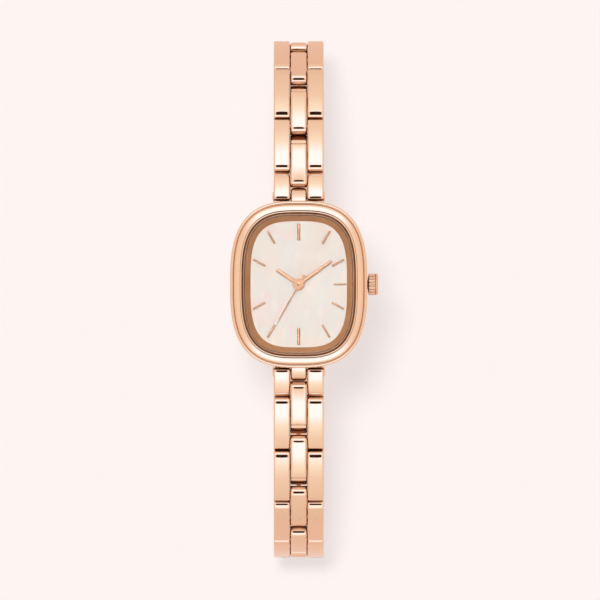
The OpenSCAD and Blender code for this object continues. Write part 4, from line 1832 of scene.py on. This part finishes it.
@dataclass(frozen=True)
class Studio:
    """The table, the lamps, the light in the room and the camera straight above."""

    # The photograph is 600 pixels wide at this scale, and the case centre is off its middle
    pixels: int = 600
    pixels_per_mm: float = 6.245
    case_pixel: tuple[float, float] = (298.7, 284.3)
    height: float = 500.0
    # How much of the table the camera sees plain, and half the table's width in metres
    plain: float = 0.67
    table: float = 4.0
    backdrop: str = "#fef6f4"
    # The key lamp: its light, how many degrees wide it looks, and how it is turned about X and Y
    key: float = 0.6
    key_width: float = 11.5
    key_turn: tuple[float, float] = (-9.5, -5.2)
    # The room's diffuse light
    room: float = 0.4
    room_shade: str = "#fffaf8"
    # What polished metal sees at each angle from straight up, a third of its strength: the warm ring
    # round the camera's dark spot, a cool softbox and the warm room. The softbox hangs towards 12 and
    # 6 o'clock only.
    gloss: float = 3.0
    along: tuple[tuple[float, Colour], ...] = (
        (0, (0.37, 0.38, 0.37, 1)),
        (19, (0.37, 0.38, 0.37, 1)),
        (28, (0.46, 0.62, 0.85, 1)),
        (38, (0.46, 0.62, 0.85, 1)),
        (47, (0.4, 0.47, 0.5, 1)),
        (57, (0.36, 0.37, 0.37, 1)),
        (70, (0.34, 0.34, 0.33, 1)),
        (95, (0.3, 0.29, 0.28, 1)),
    )
    across: tuple[tuple[float, Colour], ...] = (
        (0, (0.37, 0.37, 0.36, 1)),
        (35, (0.37, 0.37, 0.36, 1)),
        (52, (0.34, 0.33, 0.32, 1)),
        (95, (0.33, 0.32, 0.31, 1)),
    )
    # The angles from Y, in radians, between which the first list gives way to the second
    sides: tuple[float, float] = (0.5, 1.2)
    # The dark spot's half-angle towards 12 and 6 o'clock, how much slimmer it is across, how far its
    # edge fades inwards and outwards, and its shade
    spot: float = 17.0
    slim: float = 3.0
    fade: tuple[float, float] = (-0.05, 0.03)
    lens: Colour = (0.01, 0.004, 0.002, 1.0)

    def build(self) -> None:
        """Makes the camera, the floor, the key lamp and the world."""
        self.make_camera()
        self.make_floor()
        self.make_lamp()
        self.make_world()

    def make_camera(self) -> None:
        """Looks straight down without perspective, as the photograph all but does."""
        data = bpy.data.cameras.new("overhead")
        data.type = "ORTHO"
        data.ortho_scale = self.pixels / self.pixels_per_mm * MM
        camera = show("camera", data)
        half = self.pixels / 2
        x = (half - self.case_pixel[0]) / self.pixels_per_mm
        y = (self.case_pixel[1] - half) / self.pixels_per_mm
        camera.location = scaled(x, y, self.height)
        bpy.context.scene.camera = camera

    def make_floor(self) -> None:
        """Lays a plain pale table far past the view."""
        half = self.table
        data = bpy.data.meshes.new("table")
        square = [(x, y, 0) for x, y in ((-half, -half), (half, -half), (half, half), (-half, half))]
        data.from_pydata(square, [], [(0, 1, 2, 3)])
        floor = show("table", data)
        material = bpy.data.materials.new("painted_table")
        material.use_nodes = True
        tree = material.node_tree
        tree.nodes.clear()
        colour = {"Color": linear(self.backdrop)}
        paint = add(tree, "ShaderNodeBsdfDiffuse", colour).outputs[0]
        # Most of what the camera sees is plain, which keeps only a light shadow on the table
        plain = add(tree, "ShaderNodeEmission", colour).outputs[0]
        path = add(tree, "ShaderNodeLightPath").outputs["Is Camera Ray"]
        share = maths(tree, "MULTIPLY", path, self.plain)
        mix = add(tree, "ShaderNodeMixShader", {0: share, 1: paint, 2: plain}).outputs[0]
        add(tree, "ShaderNodeOutputMaterial", {"Surface": mix})
        data.materials.append(material)
        floor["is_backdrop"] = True

    def make_lamp(self) -> None:
        """Hangs a broad soft key to the left, which throws the shadow to the right."""
        data = bpy.data.lights.new("key", "SUN")
        data.energy = self.key * math.pi
        data.angle = math.radians(self.key_width)
        lamp = show("key", data)
        lamp.rotation_euler = (*(math.radians(turn) for turn in self.key_turn), 0.0)
        lamp.visible_glossy = False

    def make_world(self) -> None:
        """Lights the room: a plain level for diffuse light, and a ceiling that only gloss shows.

        The ceiling has a bright softbox at 12 and 6 o'clock, with the camera's dark spot in its middle.
        """
        world = bpy.data.worlds.new("studio")
        bpy.context.scene.world = world
        world.use_nodes = True
        tree = world.node_tree
        tree.nodes.clear()

        def glow(colour: Any, strength: float) -> Any:
            """Adds a light of one colour and strength."""
            wires = {"Color": colour, "Strength": strength}
            return add(tree, "ShaderNodeBackground", wires).outputs[0]

        def blend(share: Any, first: Any, second: Any) -> Any:
            """Mixes two colours; a share of 0 gives the first."""
            wires = {"Factor": share, 6: first, 7: second}
            return add(tree, "ShaderNodeMix", wires, data_type="RGBA").outputs[2]

        def ease(value: Any, start: float, end: float, first: float = 0.0, last: float = 1.0) -> Any:
            """Passes smoothly from the first result to the last, between a start and an end."""
            wires = {"Value": value, "From Min": start, "From Max": end, "To Min": first, "To Max": last}
            return add(tree, "ShaderNodeMapRange", wires, interpolation_type="SMOOTHSTEP").outputs[0]

        way = add(tree, "ShaderNodeTexCoord").outputs["Generated"]
        axes = add(tree, "ShaderNodeSeparateXYZ", {0: way}).outputs
        turn = maths(tree, "DIVIDE", maths(tree, "ARCCOSINE", axes["Z"]), math.pi)
        bands = [[(degrees / 180, shade) for degrees, shade in band] for band in (self.across, self.along)]
        # The angle from Y, which the small addition keeps defined straight above
        flat = maths(tree, "ADD", maths(tree, "ABSOLUTE", axes["Y"]), 0.0001)
        angle = maths(tree, "ARCTAN2", maths(tree, "ABSOLUTE", axes["X"]), flat)
        side = ease(angle, *self.sides, first=1.0, last=0.0)
        ceiling = blend(side, *(ramp(tree, turn, band) for band in bands))
        slimmed = add(tree, "ShaderNodeVectorMath", {0: way, 1: (self.slim, 1.0, 0.0)}, operation="MULTIPLY")
        wires = {0: slimmed.outputs[0]}
        away = add(tree, "ShaderNodeVectorMath", wires, operation="LENGTH").outputs["Value"]
        edge = math.sin(math.radians(self.spot))
        clear = ease(away, edge + self.fade[0], edge + self.fade[1])
        below = maths(tree, "LESS_THAN", axes["Z"], 0.0)
        seen = blend(maths(tree, "MAXIMUM", clear, below), self.lens, ceiling)
        path = add(tree, "ShaderNodeLightPath").outputs
        shiny = maths(tree, "MAXIMUM", path["Is Glossy Ray"], path["Is Transmission Ray"])
        wires = {0: shiny, 1: glow(linear(self.room_shade), self.room), 2: glow(seen, self.gloss)}
        lit = add(tree, "ShaderNodeMixShader", wires).outputs[0]
        wires = {0: path["Is Camera Ray"], 1: lit, 2: glow(linear(self.backdrop), 1.0)}
        last = add(tree, "ShaderNodeMixShader", wires).outputs[0]
        add(tree, "ShaderNodeOutputWorld", {"Surface": last})


def corners(box: Sequence[Vector]) -> list[list[float]]:
    """Turns a box into plain numbers.

    Args:
        box: Its two corners.

    Returns:
        The same corners as lists, rounded to a micrometre.
    """
    return [[round(c, 6) for c in corner] for corner in box]


def main() -> None:
    """Builds the watch and its studio round the frame."""
    logging.basicConfig(level=logging.INFO, format="%(name)s: %(message)s")
    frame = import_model()
    cad = corners(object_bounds())
    bpy.context.scene.view_settings.view_transform = "Standard"
    Studio().build()
    Wardrobe.dress(frame)
    recipes = Recipes()
    Case(frame, recipes).build()
    Dial(recipes).build()
    Crown(recipes).build()
    Bracelet(frame, recipes).build()
    Clasp(frame).build()
    {"cad": cad, "visual": corners(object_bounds())}


if __name__ == "__main__":
    main()
